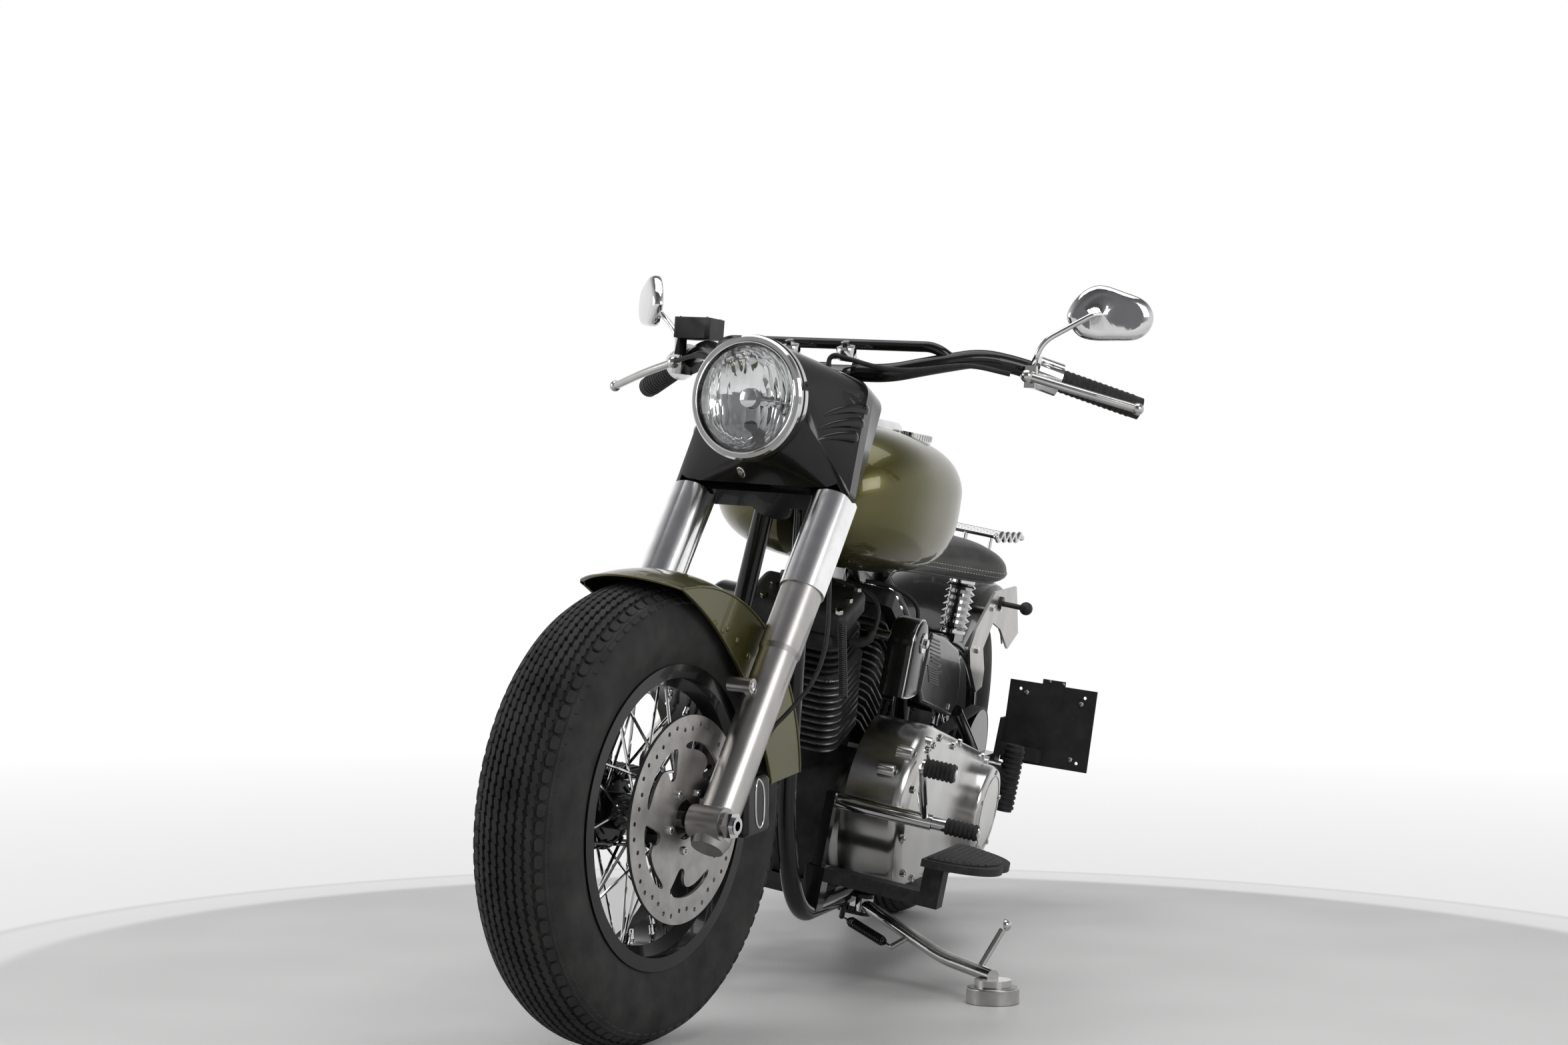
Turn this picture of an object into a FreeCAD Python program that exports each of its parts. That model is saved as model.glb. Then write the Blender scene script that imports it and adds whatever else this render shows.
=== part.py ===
import FreeCAD, Part
import math
import os

from FreeCAD import Placement, Rotation, Vector

os.makedirs("parts", exist_ok=True)

# Chassis layout, upright machine: +X forward from the rear axle, +Y left, +Z up from the road
wheelbase = 1635.0
rake = 31.0
trail = 147.0
lean = 11.2
bar_turn = 14.7
origin_ahead = 816.5
origin_left = 185.5

# Tyres and rims
front_tyre_radius = 335.0
front_tyre_width = 138.0
rear_tyre_radius = 330.0
rear_tyre_width = 145.0
tyre_crown = 90.0
rim_seat = 203.0
rim_flange = 219.0
rim_half = 60.0
rim_wall = 3.5
well_half = 28.0
well_depth = 14.0
fit_gap = 0.3
spoke_count = 40
spoke_radius = 2.3
spoke_lace_turn = 62.0
spoke_hole_radius = 44.0
spoke_head_gap = 2.6
cap_start = 48.0
cap_end = 72.0
flange_half = 2.0
lace_inner = 8.0
lace_outer = 16.5
hub_radius = 27.0
hub_flange_radius = 48.5
front_flange_reach = 38.0
rear_flange_reach = 42.0

# Brakes
front_disc_radius = 149.0
rear_disc_radius = 146.0
disc_thickness = 5.0
disc_slot_inner = 74.0
disc_slot_outer = 106.0
disc_slot_count = 7
disc_slot_turn = 24.0
front_disc_reach = 82.5
rear_disc_reach = 92.0
disc_boss_radius = 57.0
running_gap = 5.5
caliper_length = 84.0
caliper_depth = 62.0
caliper_inner_wall = 19.0
caliper_outer_wall = 40.0
front_caliper_turn = -82.0
rear_caliper_turn = 60.0
caliper_lug = 16.0
caliper_edge = 9.0

# Axles
axle_radius = 12.5
axle_bore = 7.0
front_axle_half = 154.0
front_nut_reach = 16.0
nut_flats = 34.0
rear_axle_half = 178.0
rear_axle_right = 155.0
axle_cover_radius = 23.0
axle_cover_length = 34.0

# Fork, laid out along the steering axis
tube_spacing = 247.0
tube_ahead = 29.0
lug_length = 62.0
lug_radius = 24.0
slider_radius = 29.5
slider_top_radius = 32.0
slider_step_up = 648.0
slider_foot_up = 330.0
cover_low_up = 760.0
cover_radius = 35.0
cover_wall = 2.5
tube_radius = 20.5
boss_up = 576.0
boss_ahead = 37.0
boss_radius = 11.0
lower_yoke_up = 921.0
yoke_thickness = 28.0
upper_yoke_up = 1040.0
yoke_clamp = 20.6
stem_radius = 16.0
head_radius = 33.0
head_gap = 1.0

# Nacelle and headlamp, along the steering axis
nacelle_low_up = 916.0
nacelle_top_up = 1155.0
nacelle_back = -20.0
nacelle_crest = 37.0
nacelle_round = 16.0
nacelle_floor = 30.0
nacelle_back_low_half = 130.0
nacelle_back_top_half = 112.0
nacelle_low_half = 157.0
nacelle_top_half = 118.0
nacelle_low_round = 10.0
nacelle_top_round = 38.0
nacelle_lamp_round = 92.0
nacelle_wall = 3.5
lamp_up = 1006.0
lamp_ahead = 172.0
lamp_pitch = 1.2
lamp_radius = 95.0
lamp_glass_radius = 83.0
lamp_bucket_radius = 88.0
lamp_ring_depth = 24.0
lamp_bucket_depth = 62.0
lamp_lens_dome = 9.0
lamp_wall = 3.0

# Handlebar, upright machine with the bar straight
bar_radius = 14.5
brace_radius = 8.5
bar_clamp_x = 1190.0
bar_clamp_z = 1011.0
bar_clamp_half = 125.0
bar_rise_x = 1168.0
bar_rise_y = 182.0
bar_rise_z = 1027.0
bar_peak_x = 1118.0
bar_peak_y = 246.0
bar_peak_z = 1047.0
bar_bend = 30.0
bar_straight = 70.0
grip_start_x = 1040.0
grip_start_y = 346.0
grip_start_z = 1022.0
grip_end_x = 968.0
grip_end_y = 446.0
grip_end_z = 990.0
grip_radius = 17.5
brace_x = 1162.0
brace_y = 214.0
brace_z = 1057.0
riser_half = 50.0
riser_radius = 15.0
riser_clamp_half = 19.0
riser_wall = 7.5
lever_ball_x = 1031.0
lever_ball_y = 477.0
lever_ball_z = 983.0
lever_ball_radius = 9.5
lever_radius = 6.5
lever_pivot_x = 1104.0
perch_y = 320.0
perch_width = 18.0
perch_height = 35.0
reservoir_length = 56.0
reservoir_width = 68.0
reservoir_y = 277.0
reservoir_height = 34.0
mirror_x = 1031.0
mirror_y = 420.0
mirror_z = 1126.0
mirror_half_width = 66.0
mirror_half_height = 45.0
left_mirror_turn = 25.0
right_mirror_turn = 47.0
mirror_depth = 20.0
mirror_stalk_radius = 4.5
mirror_base_x = 1084.0
mirror_bend_y = 334.0
mirror_bend_z = 1078.0

# Front fender
fender_gap = 14.0
fender_half = 86.0
fender_wall = 2.5
fender_front_turn = 24.0
skirt_depth = 125.0
fender_back_turn = 80.0

# Frame
frame_tube = 16.0
rail_half = 108.0
rail_height = 147.0
rail_inner_half = 72.0
rail_turn_x = 560.0
rail_front = 1092.0
rail_back = 470.0
rail_back_z = 190.0
post_foot_x = 450.0
post_foot_z = 322.0
post_knee_x = 560.0
post_knee_z = 600.0
downtube_knee_x = 1150.0
downtube_knee_z = 300.0
downtube_knee_half = 76.0
downtube_top_half = 26.0
backbone_half = 23.0
backbone_height = 62.0
backbone_back_x = 640.0
backbone_back_z = 700.0
rear_rail_tube = 9.0
rear_rail_start_x = 560.0
rear_rail_start_z = 592.0
rear_rail_bolt_x = 167.0
rear_rail_bolt_z = 544.0
rear_rail_x = 318.0
rear_rail_z = 578.0
rear_rail_end_x = 50.0
rear_rail_end_z = 482.0
perch_reach = 36.0
seat_tongue = 20.0
seat_tongue_depth = 9.0
board_bracket_x = 1005.0
board_bracket_half = 20.0
board_bracket_top = 222.0
engine_mount_half = 30.0

# Swingarm
pivot_radius = 20.0
pivot_half = 108.0
swing_bend_front = 330.0
swing_bend_back = 240.0
swing_half = 140.0
swing_width = 22.0
swing_height = 46.0
swing_upper_x = 350.0
swing_upper_z = 455.0

# Engine
crank_x = 830.0
crank_z = 285.0
crank_case_radius = 116.0
crank_case_half = 90.0
gearbox_back = 520.0
gearbox_front = 742.0
gearbox_low = 172.0
gearbox_top = 376.0
twin_angle = 45.0
barrel_foot = 142.0
barrel_radius = 58.0
fin_start = 150.0
rocker_right_half = 103.0
fin_pitch = 13.0
fin_thickness = 4.0
barrel_fins = 11
fin_half_length = 74.0
fin_half_width = 82.0
fin_corner = 30.0
head_top = 362.0
head_fins = 4
rocker_top = 398.0
rocker_half_length = 62.0
rocker_half_width = 78.0
cam_cover_depth = 42.0
pushrod_radius = 9.0
primary_front_x = 842.0
primary_front_z = 330.0
primary_front_radius = 138.0
primary_back_x = 436.0
primary_back_z = 296.0
primary_back_radius = 106.0
primary_inner = 120.0
primary_seat_radius = 96.0
primary_outer = 226.0
primary_round = 24.0
derby_radius = 84.0
derby_outer = 254.0
derby_round = 10.0
cleaner_x = 872.0
cleaner_z = 545.0
manifold_radius = 16.0
cleaner_radius = 92.0
cleaner_inner = 128.0
cleaner_outer = 196.0

# Exhaust
pipe_radius = 22.0
muffler_radius = 43.0
muffler_y = 200.0
front_muffler_z = 250.0
rear_muffler_z = 345.0
muffler_front_x = 520.0
rear_muffler_start = 60.0
pipe_turn_x = 960.0
muffler_back_x = -130.0

# Oil tank, covers, horn and regulator
oil_tank_back = 392.0
oil_tank_front = 480.0
oil_tank_low = 470.0
oil_tank_top = 590.0
oil_tank_half = 62.0
oil_tank_round = 20.0
side_cover_inner = 132.0
side_cover_boss = 9.0
side_cover_outer = 150.0
side_cover_front = 715.0
side_cover_back = 400.0
side_cover_top = 612.0
side_cover_low = 450.0
horn_x = 832.0
horn_y = 141.0
horn_z = 592.0
horn_radius = 48.0
horn_depth = 50.0
horn_drop = 87.0
horn_stay = 10.0
regulator_x = 1118.0
regulator_low = 208.0
regulator_top = 372.0
regulator_half = 55.0

# Fuel tank
tank_front = 1168.0
tank_back = 612.0
tank_half = 190.0
tank_belly = 703.0
tank_crest = 944.0
tank_power = 2.9
tunnel_gap = 6.0
console_front = 1010.0
console_back = 700.0
console_half = 42.0
console_rise = 12.0
cap_x = 862.0
cap_y = 84.0
cap_radius = 33.0

# Seat, springs, rack and rear fender
seat_nose = 606.0
seat_sink = 12.0
spring_bars = 7
strut_bolt = 10.0
right_peg_y = 264.0
peg_lug = 17.0
board_plate_arm = 22.0
brake_pivot_z = 211.0
brake_y = 266.0
shift_bracket_half = 12.0
seat_tail = 268.0
seat_half = 190.0
seat_wide_x = 372.0
seat_low = 694.0
seat_high = 771.0
spring_y = 96.0
spring_radius = 24.0
spring_wire = 4.0
spring_perch = 15.0
rear_fender_radius = 372.0
rear_fender_half = 92.0
rear_fender_skirt = 62.0
rear_fender_front_turn = 58.0
rear_fender_back_turn = 38.0
strut_thickness = 5.0
rack_front = 66.0
rack_back = -176.0
rack_half = 88.0
rack_z = 776.0
rack_bar = 5.0
rack_waves = 4
rack_foot_share = 0.3

# Plate holder, indicators and feet
plate_x = -60.0
plate_y = 240.0
plate_z = 426.0
plate_width = 176.0
plate_height = 162.0
plate_thickness = 4.0
plate_bolt_radius = 92.0
plate_bolt_hole = 3.2
plate_tilt = 3.6
indicator_x = 34.0
indicator_z = 649.0
indicator_reach = 168.0
indicator_ball = 13.0
board_front = 1058.0
board_back = 800.0
board_inner = 286.0
board_depth = 108.0
board_z = 280.0
board_thickness = 12.0
peg_x = 150.0
peg_y = 224.0
peg_low = 268.0
peg_top = 396.0
peg_radius = 17.0
shift_pivot_x = 1000.0
shift_pivot_z = 332.0
shift_y = 266.0
shift_peg_length = 54.0
shift_peg_radius = 13.0
shift_top_x = 1092.0
shift_top_z = 428.0

# Belt drive
belt_pulley_radius = 104.0
belt_front_radius = 44.0
belt_front_x = 560.0
belt_front_z = 322.0
belt_y = 104.0
belt_width = 24.0
belt_thickness = 5.0

# Side stand, laid out on the road with the machine parked
stand_foot_x = 1058.0
stand_foot_y = 453.0
stand_knee_x = 840.0
stand_knee_y = 222.0
stand_knee_z = 95.0
stand_toe_x = 960.0
stand_toe_y = 349.0
stand_toe_z = 52.0
stand_pivot_x = 785.0
stand_pivot_y = 168.0
stand_pivot_z = 112.0
stand_eye_radius = 15.0
stand_eye_half = 12.0
stand_ear = 6.0
stand_leg_radius = 11.0
stand_ball_x = 1000.0
stand_ball_y = 460.0
stand_ball_z = 115.0
stand_ball_radius = 10.0
# Where the folded stand points, as shares of its length
stand_folded_share = (-0.96, 0.08, 0.06)
puck_radius = 42.0
puck_height = 25.0
stand_spring_radius = 9.0
stand_spring_x = 835.0
stand_spring_y = 146.0
stand_spring_z = 94.0
stand_tab_x = 905.0
stand_tab_y = 245.0
stand_tab_z = 60.0
stand_tab_radius = 5.0


# Placing and small building blocks

def turned(axis, angle, centre):
    return Placement(Vector(), Rotation(axis, angle), centre)


fork_foot = Vector(wheelbase + trail, 0, 0)
from_fork = Placement(fork_foot, Rotation(Vector(0, 1, 0), -rake))
steer_axis = from_fork.Rotation.multVec(Vector(0, 0, 1))
rear_axle = Vector(0, 0, rear_tyre_radius)
front_axle = Vector(wheelbase, 0, front_tyre_radius)


def moved(shape, place):
    copy = shape.copy()
    copy.Placement = place.multiply(copy.Placement)
    return copy


def low_point(centre, axle, radius):
    tilt = math.sqrt(1 - axle.z ** 2)
    return centre.z - (radius - tyre_crown) * tilt - tyre_crown


def parked_places():
    """Where the chassis and the turned fork stand when the machine leans on its side stand."""
    steering = turned(steer_axis, -bar_turn, fork_foot)
    pitch = 0.0
    for _ in range(4):
        tip = turned(Vector(1, 0, 0), -lean, Vector()).multiply(
            turned(Vector(0, 1, 0), pitch, rear_axle))
        fork = tip.multiply(steering)
        side = Vector(0, 1, 0)
        front = low_point(fork.multVec(front_axle), fork.Rotation.multVec(side), front_tyre_radius)
        rear = low_point(tip.multVec(rear_axle), tip.Rotation.multVec(side), rear_tyre_radius)
        pitch += math.degrees((front - rear) / wheelbase)
    shift = Placement(Vector(-origin_ahead, -origin_left, -rear), Rotation())
    return shift.multiply(tip), shift.multiply(fork)


def on_machine(point):
    """A place on the road under the parked machine, given in the machine's own directions."""
    return chassis_place.inverse().multVec(road_place.multVec(point))


chassis_place, steering_place = parked_places()
road_place = Placement(Vector(-origin_ahead, -origin_left, 0), Rotation())


def save(name, pieces, place):
    shape = pieces if isinstance(pieces, Part.Shape) else Part.makeCompound(pieces)
    moved(shape, place).exportStep("parts/" + name + ".step")


def box(low, high):
    size = high - low
    return Part.makeBox(size.x, size.y, size.z, low)


def wire_rod(start, end, radius):
    """A slim six-sided rod, as a spoke is drawn."""
    run = (end - start).normalize()
    side = run.cross(Vector(0, 1, 0)).normalize()
    corners = []
    for index in range(6):
        turn = math.radians(60 * index)
        corners.append(start + (side * math.cos(turn) + run.cross(side) * math.sin(turn)) * radius)
    return slab(corners, end - start)


def rod(start, end, radius):
    return Part.makeCylinder(radius, (end - start).Length, start, end - start)


def ball(centre, radius):
    return Part.makeSphere(radius, centre)


def fused(pieces):
    shape = pieces[0]
    if len(pieces) > 1:
        shape = shape.fuse(pieces[1:])
    return shape.removeSplitter()


def mirrored(shape):
    return shape.mirror(Vector(), Vector(0, 1, 0))


def both(shape):
    return [shape, mirrored(shape)]


def arc_through(first, middle, last):
    return Part.Arc(first, middle, last).toShape()


def spun(points, centre, axis=Vector(0, 1, 0), angle=360.0):
    """A solid turned about an axis through centre, from corners given as (along, radius)."""
    across = Vector(0, 0, 1) if abs(axis.z) < 0.5 else Vector(1, 0, 0)
    across = (across - axis * across.dot(axis)).normalize()
    corners = [centre + axis * along + across * radius for along, radius in points]
    face = Part.Face(Part.makePolygon(corners + corners[:1]))
    return face.revolve(centre, axis, angle)


def bent_tube(points, radius, longest_bend=math.inf):
    """Straight runs joined by tangent arcs, each as long as its two runs allow."""
    pieces = []
    start = points[0]
    for before, corner, after in zip(points, points[1:], points[2:]):
        inward = (before - corner).normalize()
        onward = (after - corner).normalize()
        reach = min(0.45 * (before - corner).Length, 0.45 * (after - corner).Length, longest_bend)
        entry = corner + inward * reach
        half = inward.getAngle(onward) / 2
        centre = corner + (inward + onward).normalize() * (reach / math.cos(half))
        turn = math.degrees(math.pi - 2 * half)
        ring = Part.Face(Part.Wire(Part.makeCircle(radius, entry, corner - entry)))
        pieces.append(rod(start, entry, radius))
        pieces.append(ring.revolve(centre, (entry - centre).cross(corner - centre), turn))
        start = corner + onward * reach
    pieces.append(rod(start, points[-1], radius))
    return fused(pieces)


def slab(corners, depth):
    """A flat plate: an outline of corners pushed out by the vector depth."""
    return Part.Face(Part.makePolygon(corners + corners[:1])).extrude(depth)


def oval(centre, across, up, half_width, half_height, power, count=20):
    """A closed curve, from an ellipse at power 2 towards four corners."""
    points = []
    for index in range(count):
        turn = 2 * math.pi * (index + 0.5) / count
        side = math.copysign(abs(math.cos(turn)) ** (2 / power), math.cos(turn))
        rise = math.copysign(abs(math.sin(turn)) ** (2 / power), math.sin(turn))
        points.append(centre + across * (half_width * side) + up * (half_height * rise))
    curve = Part.BSplineCurve()
    curve.interpolate(Points=points, PeriodicFlag=True)
    return Part.Wire(curve.toShape())


def rounded_ring(corners, radii):
    """A closed wire of straight sides and tangent arcs, one arc for each corner."""
    edges = []
    count = len(corners)
    joints = []
    for index, corner in enumerate(corners):
        inward = (corners[index - 1] - corner).normalize()
        onward = (corners[(index + 1) % count] - corner).normalize()
        half = inward.getAngle(onward) / 2
        reach = radii[index] / math.tan(half)
        middle = corner + (inward + onward).normalize() * (radii[index] / math.sin(half) - radii[index])
        joints.append((corner + inward * reach, middle, corner + onward * reach))
    for index, (entry, middle, leave) in enumerate(joints):
        edges.append(arc_through(entry, middle, leave))
        edges.append(Part.LineSegment(leave, joints[(index + 1) % count][0]).toShape())
    return Part.Wire(edges)


def arc_ring(centre, across, up, radius):
    """A circle in eight arcs, to loft from a ring of four rounded corners."""
    def at(degrees):
        turn = math.radians(degrees)
        return centre + across * (math.cos(turn) * radius) + up * (math.sin(turn) * radius)

    edges = []
    for middle in (-45, 45, 135, 225):
        edges.append(arc_through(at(middle - 30), at(middle), at(middle + 30)))
        edges.append(arc_through(at(middle + 30), at(middle + 45), at(middle + 60)))
    return Part.Wire(edges)


# Wheels

def tyre(centre, radius, width):
    half = width / 2
    bead = rim_half - rim_wall - fit_gap
    shoulder = half * 0.84
    shoulder_radius = radius - tyre_crown + math.sqrt(tyre_crown ** 2 - shoulder ** 2)
    belly_radius = (rim_flange + shoulder_radius) / 2

    def at(along, out):
        return centre + Vector(0, along, out)

    edges = [
        Part.LineSegment(at(-bead, rim_seat + fit_gap), at(-bead, rim_flange)).toShape(),
        arc_through(at(-bead, rim_flange), at(-half, belly_radius), at(-shoulder, shoulder_radius)),
        arc_through(at(-shoulder, shoulder_radius), at(0, radius), at(shoulder, shoulder_radius)),
        arc_through(at(shoulder, shoulder_radius), at(half, belly_radius), at(bead, rim_flange)),
        Part.LineSegment(at(bead, rim_flange), at(bead, rim_seat + fit_gap)).toShape(),
        Part.LineSegment(at(bead, rim_seat + fit_gap), at(-bead, rim_seat + fit_gap)).toShape(),
    ]
    return Part.Face(Part.Wire(edges)).revolve(centre, Vector(0, 1, 0), 360.0)


def rim(centre):
    slope = well_half + well_depth
    half_outer = [
        (rim_half, rim_flange), (rim_half - rim_wall, rim_flange), (rim_half - rim_wall, rim_seat),
        (slope, rim_seat), (well_half, rim_seat - well_depth)]
    half_inner = [
        (well_half, rim_seat - well_depth - rim_wall), (slope, rim_seat - rim_wall),
        (rim_half, rim_seat - rim_wall)]
    outer = half_outer + [(-along, out) for along, out in reversed(half_outer)]
    inner = [(-along, out) for along, out in reversed(half_inner)] + half_inner
    return spun(outer + inner, centre)


def hub(centre, reach, left_face, right_face, cap_radius):
    bore = axle_radius + fit_gap
    profile = [
        (right_face, bore), (right_face, cap_radius), (-cap_start, cap_radius), (-cap_start, hub_radius),
        (-reach - flange_half, hub_radius), (-reach - flange_half, hub_flange_radius),
        (-reach + flange_half, hub_flange_radius), (-reach + flange_half, hub_radius),
        (reach - flange_half, hub_radius), (reach - flange_half, hub_flange_radius),
        (reach + flange_half, hub_flange_radius), (reach + flange_half, hub_radius),
        (left_face, hub_radius), (left_face, bore)]
    return spun(profile, centre)


def spokes(centre, reach):
    """Laced wire spokes: each flange carries leading ones outside and trailing ones inside."""
    rods = []
    rim_end = rim_seat - well_depth - rim_wall - spoke_radius - fit_gap
    offset = flange_half + spoke_radius + spoke_head_gap
    per_side = spoke_count // 4
    for side in (1, -1):
        for index in range(per_side):
            base = 360.0 * (index + 0.25 * (side < 0)) / per_side
            for lead in (1, -1):
                near = math.radians(base + 180.0 / per_side * (lead < 0))
                far = near + math.radians(lead * spoke_lace_turn)
                along = side * (reach + lead * offset)
                lace = side * (lace_outer if lead > 0 else lace_inner)
                start = Vector(math.sin(near) * spoke_hole_radius, along,
                               math.cos(near) * spoke_hole_radius)
                end = Vector(math.sin(far) * rim_end, lace, math.cos(far) * rim_end)
                rods.append(wire_rod(centre + start, centre + end, spoke_radius))
    return rods


def disc(centre, reach, radius):
    plate = spun([(reach - disc_thickness / 2, disc_boss_radius * 0.5),
                  (reach - disc_thickness / 2, radius),
                  (reach + disc_thickness / 2, radius),
                  (reach + disc_thickness / 2, disc_boss_radius * 0.5)], centre)
    slot = spun([(reach - disc_thickness, disc_slot_inner), (reach - disc_thickness, disc_slot_outer),
                 (reach + disc_thickness, disc_slot_outer), (reach + disc_thickness, disc_slot_inner)],
                centre, Vector(0, 1, 0), disc_slot_turn)
    cuts = []
    for index in range(disc_slot_count):
        copy = slot.copy()
        copy.rotate(centre, Vector(0, 1, 0), 360.0 * index / disc_slot_count)
        cuts.append(copy)
    return plate.cut(cuts)


def caliper(centre, reach, radius, turn, side):
    """A block over the disc's rim, thicker on its outer side, with a slot that clears the disc."""
    clear = disc_thickness / 2 + running_gap
    walls = (caliper_inner_wall, caliper_outer_wall) if side > 0 else (caliper_outer_wall, caliper_inner_wall)
    low = radius + running_gap - caliper_depth
    top = radius + running_gap
    block = box(Vector(-caliper_length / 2, reach - clear - walls[0], low),
                Vector(caliper_length / 2, reach + clear + walls[1], top + caliper_edge))
    block = block.makeFillet(caliper_edge, block.Edges)
    slot = box(Vector(-caliper_length, reach - clear, low - caliper_edge),
               Vector(caliper_length, reach + clear, top))
    shape = block.cut(slot)
    shape.rotate(Vector(), Vector(0, 1, 0), turn)
    shape.translate(centre)
    return shape


def rear_caliper():
    """The rear brake's block and the plate that holds it from the axle, inside the right arm."""
    block = caliper(rear_axle, -rear_disc_reach, rear_disc_radius, rear_caliper_turn, 1)
    outer = -rear_disc_reach - disc_thickness / 2 - running_gap - caliper_inner_wall
    face = -swing_half + swing_width / 2 + fit_gap
    plate = box(Vector(-caliper_lug, face, -caliper_lug * 1.5),
                Vector(caliper_lug, outer, rear_disc_radius - caliper_depth / 2))
    pad = box(Vector(-caliper_length / 2 + caliper_edge, face, rear_disc_radius - caliper_depth / 2),
              Vector(caliper_length / 2 - caliper_edge, outer + caliper_edge, rear_disc_radius - caliper_edge))
    bore = rod(Vector(0, face - caliper_edge, 0), Vector(0, outer + caliper_edge, 0), axle_radius + fit_gap)
    plate = fused([plate, pad]).cut(bore)
    plate.rotate(Vector(), Vector(0, 1, 0), rear_caliper_turn)
    plate.translate(rear_axle)
    return fused([block, plate])


def caliper_lugs():
    """The two lugs behind the left fork leg that the front brake bolts to."""
    face_x = front_axle.x - (front_disc_radius + running_gap - caliper_depth) + fit_gap
    face_y = front_disc_reach + disc_thickness / 2 + running_gap
    lugs = []
    for rise in (-1, 1):
        low = Vector(face_x, face_y + caliper_edge, front_axle.z + rise * caliper_length / 4 - caliper_lug / 2)
        high = Vector(front_axle.x - axle_radius, face_y + caliper_outer_wall - caliper_edge,
                      low.z + caliper_lug)
        lug = box(low, high)
        lug.rotate(front_axle, Vector(0, 1, 0), 90 + front_caliper_turn)
        lugs.append(moved(lug, from_fork.inverse()))
    return lugs


def leg_shape(lugs, side):
    """A fork leg: slider with its axle lug and fender boss."""
    reach = tube_spacing / 2
    axle = from_fork.inverse().multVec(front_axle)
    profile = [
        (slider_foot_up, 0), (slider_foot_up, slider_radius * 0.8),
        (slider_foot_up + slider_radius * 0.5, slider_radius),
        (slider_step_up, slider_radius), (slider_step_up + slider_radius * 0.3, slider_top_radius),
        (cover_low_up + cover_wall, slider_top_radius), (cover_low_up + cover_wall, tube_radius),
        (lower_yoke_up - fit_gap, tube_radius), (lower_yoke_up - fit_gap, 0)]
    slider = spun(profile, Vector(tube_ahead, reach, 0), Vector(0, 0, 1))
    lug_inner = reach - lug_length * 0.42
    lug = rod(Vector(axle.x, lug_inner, axle.z), Vector(axle.x, lug_inner + lug_length * 0.84, axle.z),
              lug_radius)
    bore = rod(Vector(axle.x, 0, axle.z), Vector(axle.x, tube_spacing, axle.z), axle_radius + fit_gap)
    boss_start = Vector(tube_ahead + boss_ahead, fender_half + fit_gap, boss_up)
    boss = rod(boss_start, boss_start + Vector(0, slider_radius * 1.3, 0), boss_radius)
    web = box(Vector(tube_ahead, reach - boss_radius, boss_up - boss_radius),
              Vector(tube_ahead + boss_ahead, reach, boss_up + boss_radius * 0.6))
    leg = fused([slider, lug, boss, web] + lugs).cut(bore)
    return leg if side > 0 else mirrored(leg)


def leg_cover():
    """Tube over the top of a fork leg, trimmed under the nacelle's slanted lower edge."""
    top = lower_yoke_up - fit_gap
    cover = spun([(cover_low_up, cover_radius - cover_wall), (cover_low_up, cover_radius),
                  (top, cover_radius), (top, cover_radius - cover_wall)],
                 Vector(tube_ahead, tube_spacing / 2, 0), Vector(0, 0, 1))
    edge = [Vector(x, 0, nacelle_low(x) - fit_gap)
            for x in (nacelle_crest - cover_radius * 2, nacelle_crest, nacelle_crest + cover_radius * 2)]
    high = [Vector(point.x, 0, nacelle_top_up) for point in (edge[2], edge[0])]
    return cover.cut(slab(edge + high, Vector(0, tube_spacing, 0)))


def nacelle_low(x):
    """Height of the nacelle's lower edge: level on the upright machine behind its crest, then up to the lamp."""
    if x < nacelle_crest:
        return nacelle_low_up + (nacelle_crest - x) * math.tan(math.radians(rake))
    forward, up = lamp_forward()
    lamp = Vector(lamp_ahead, 0, lamp_up) - forward * lamp_ring_depth - up * nacelle_lamp_round
    return nacelle_low_up + (x - nacelle_crest) * (lamp.z - nacelle_low_up) / (lamp.x - nacelle_crest)


def nacelle_top(x):
    forward, up = lamp_forward()
    lamp = Vector(lamp_ahead, 0, lamp_up) - forward * lamp_ring_depth + up * nacelle_lamp_round
    return nacelle_top_up + (x - nacelle_back) * (lamp.z - nacelle_top_up) / (lamp.x - nacelle_back)


def hex_nut(centre, length, flats, bore):
    corners = []
    for index in range(6):
        turn = math.radians(60 * index)
        across = flats / math.sqrt(3)
        corners.append(centre + Vector(math.cos(turn) * across, 0, math.sin(turn) * across))
    nut = slab(corners, Vector(0, length, 0))
    return nut.cut(rod(centre - Vector(0, length, 0), centre + Vector(0, length * 2, 0), bore))


# Steering pieces, drawn with +Z along the steering axis

def yokes():
    side = tube_spacing / 2
    front = tube_ahead + yoke_clamp * 0.7
    low = lower_yoke_up
    lower = [box(Vector(0, -side, low), Vector(front, side, low + yoke_thickness))]
    for s in (1, -1):
        lower.append(rod(Vector(tube_ahead, s * side, low), Vector(tube_ahead, s * side, low + yoke_thickness),
                         yoke_clamp))
    high = upper_yoke_up
    upper = box(Vector(0, -side * 0.8, high), Vector(front, side * 0.8, high + yoke_thickness))
    rings = [rod(Vector(0, 0, up), Vector(0, 0, up + yoke_thickness), head_radius) for up in (low, high)]
    stem = rod(Vector(0, 0, low), Vector(0, 0, high + yoke_thickness), stem_radius)
    return fused(lower + [upper, stem] + rings)


def lamp_forward():
    """The lamp's own axis, nearly level, in the fork's directions."""
    turn = math.radians(rake - lamp_pitch)
    return Vector(math.cos(turn), 0, -math.sin(turn)), Vector(math.sin(turn), 0, math.cos(turn))


def nacelle_section(inset, x, low_half, top_half):
    low = nacelle_low(x) + inset
    top = nacelle_top(x) - inset
    corners = [Vector(x, low_half - inset, low), Vector(x, top_half - inset, top),
               Vector(x, -top_half + inset, top), Vector(x, -low_half + inset, low)]
    radii = [nacelle_low_round, nacelle_top_round, nacelle_top_round, nacelle_low_round]
    return rounded_ring(corners, [radius - inset for radius in radii])


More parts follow.
